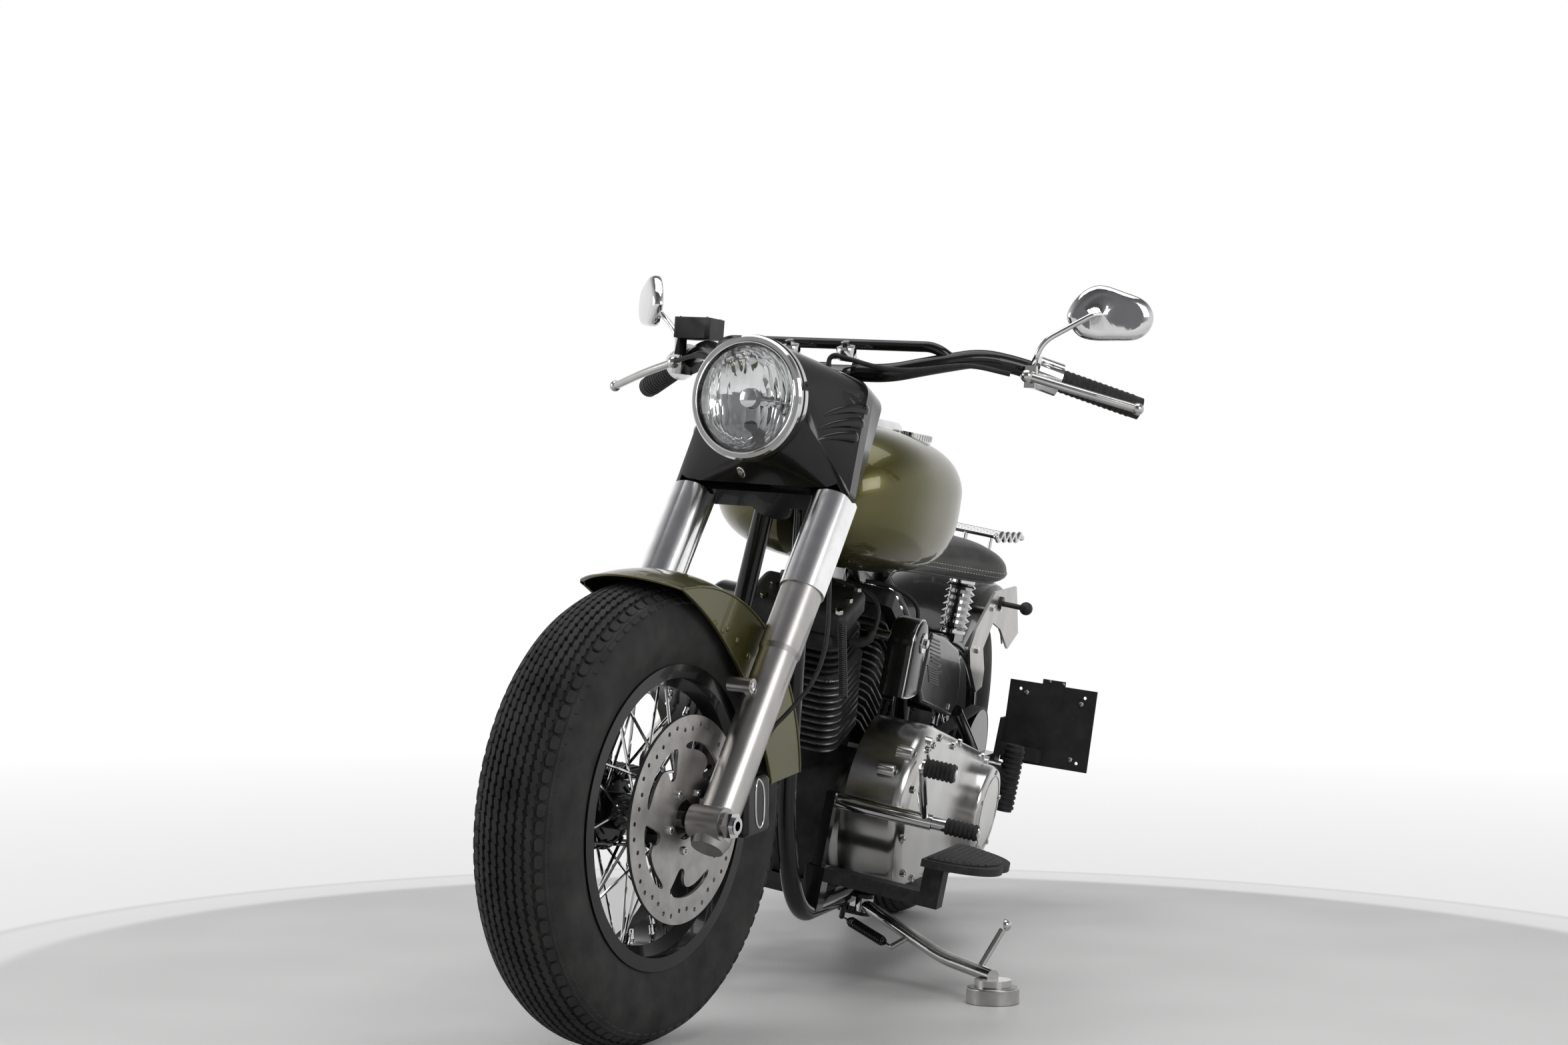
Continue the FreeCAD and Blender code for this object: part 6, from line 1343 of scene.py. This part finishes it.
# struts, air cleaner, tank caps
print("body trim")
trimSet = {"struts": ((100, 640), (34, 640), (167, 560), (40, 560)), "cleaner": (872, 545),
           "cleanerScrews": 60,
           "cleanerRing": 78, "cleanerFace": -196, "caps": (862, 84), "knurls": 44, "knurlRadius": 33.0}
spots = flankSpots("chassis", [(x, 260, z) for x, z in trimSet["struts"]], "fender_struts")
pointsOf("strutBolts", "chassis", spots, hexHead(8.0, 5.0, 1.4), chrome)
cleanerX, cleanerZ = trimSet["cleaner"]
points = [onCircle(cleanerX, cleanerZ, trimSet["cleanerScrews"], 90 + 120 * k) for k in range(3)]
spots = spotsOn("chassis", [(x, -300, z) for x, z in points], (0, 1, 0), "air_cleaner")
pointsOf("cleanerScrews", "chassis", spots, capScrew(5.5, 3.0), chrome)
cleanerPlace = Matrix.Translation((cleanerX, trimSet["cleanerFace"], cleanerZ)) @ turnTo((0, -1, 0))
settled("cleanerRing", beadRing("ring", trimSet["cleanerRing"], 0, 1.6, 1.6), "chassis", chrome,
        cleanerPlace, 60)
knurls = []
capX, capY = trimSet["caps"]
for side in (1, -1):
    hit = hitOn("chassis", (capX, side * capY, 1150), (0, 0, -1), "tank_console", "fuel_tank")
    top = (places["chassis"].inverted() @ hit[0]).z
    grip = meshFrom("grip", [(x, y, z) for x in (-1.2, 1.4) for y in (-1.6, 1.6) for z in (-10, -1.5)],
                    [(0, 1, 3, 2), (4, 6, 7, 5), (0, 4, 5, 1), (2, 3, 7, 6), (0, 2, 6, 4), (1, 5, 7, 3)])
    knurls.append(ringOf("knurl", (capX, side * capY, top), (0, 0, 1), grip, trimSet["knurls"],
                         trimSet["knurlRadius"], finish=chrome))
settled("capKnurl", joined("capKnurl", knurls), "chassis", chrome, smooth=30)

# wheels: spoke nipples, valve stems
print("wheel trim")
for key, centre, body in (("front", frontAxle, "front_wheel"), ("rear", rearAxle, "rear_wheel")):
    nipple = turnedMesh("nipple", [(0, -15), (2.9, -15), (3.3, -14), (3.3, -4), (4.2, -3), (4.2, 2), (0, 2)],
                        8)
    nipple.transform(Matrix.Rotation(math.pi / 2, 4, "Y"))
    rows = [ringOf("nipples", centre, (0, 1, 0), nipple, 20, 187.0, side * 8.0, 2 * math.pi * shift / 40,
                   chrome)
            for side, shift in ((1, 0.0), (-1, 1.0))]
    settled(key + "Nipples", joined(key + "Nipples", rows), body, chrome, smooth=40)
    stem = turnedMesh("stem", [(0, 0), (4, 0), (4, 14), (3, 16), (3, 26), (4.2, 27), (4.2, 36), (0, 37)], 16)
    stem.transform(Matrix.Translation(centre + Vector((0, 0, -186))) @ turnTo((0, 0, 1)))
    settled(key + "Valve", stem, body, satinBlack, smooth=40)

# brake hose behind the left leg, with its coiled guard; the caliper's oval plate has a bright rim;
# all three are placed by pixels of the photo
print("hose")
hoseSet = {"radius": 3.4, "guard": 5.6, "guardRings": 34, "back": -33.0,
           "route": ((1252, 730), (1247, 800), (1244, 880), (1242, 960), (1224, 1020), (1182, 1070),
                     (1152, 1098),
                     (1140, 1135)),
           "coil": ((1263, 940), (1265, 1045)),
           "oval": ((1137, 1169), (1142, 1172), (1146, 1186), (1146, 1222), (1143, 1238), (1139, 1243),
                    (1135, 1238),
                    (1133, 1222), (1133, 1186), (1135, 1173), (1137, 1169))}


def behindLeg(x, y):
    # where the sight line through a photo pixel meets the plane behind the fork legs, on the upright machine
    place = places["steering"]
    origin = place @ onFork(hoseSet["back"], 0, 500)
    along = place @ onFork(hoseSet["back"], 0, 700) - origin
    across = place @ onFork(hoseSet["back"], 100, 500) - origin
    flat = along.cross(across).normalized()
    eye, way = Vector(cameraSet["place"]), sightTo(x, y)
    return place.inverted() @ (eye + way * ((origin - eye).dot(flat) / way.dot(flat)))


hose = smoothTube("brakeHose", [behindLeg(*spot) for spot in hoseSet["route"]], hoseSet["radius"])
settled("brakeHose", hose, "steering", mouldedRubber, smooth=60)
high, low = (behindLeg(*spot) for spot in hoseSet["coil"])
guard = [smoothTube("sleeve", [low, (low + high) / 2, high], 3.2, 6)]
for k in range(hoseSet["guardRings"]):
    loop = beadRing("loop", hoseSet["guard"], 0, 1.1, 1.1, 16, 6)
    share = k / (hoseSet["guardRings"] - 1)
    loop.transform(Matrix.Translation(low + (high - low) * share) @ turnTo(high - low))
    guard.append(loop)
settled("hoseGuard", joined("hoseGuard", guard), "steering", satinBlack, smooth=60)
rim = [seenAt(x, y, "front_caliper") for x, y in hoseSet["oval"]]
toFork = places["steering"].inverted()
rimLine = [toFork @ (spot[0] + spot[1] * 0.0004) for spot in rim]
settled("caliperRim", smoothTube("caliperRim", rimLine, 1.5, 6), "steering", chrome, smooth=60)

print("done")
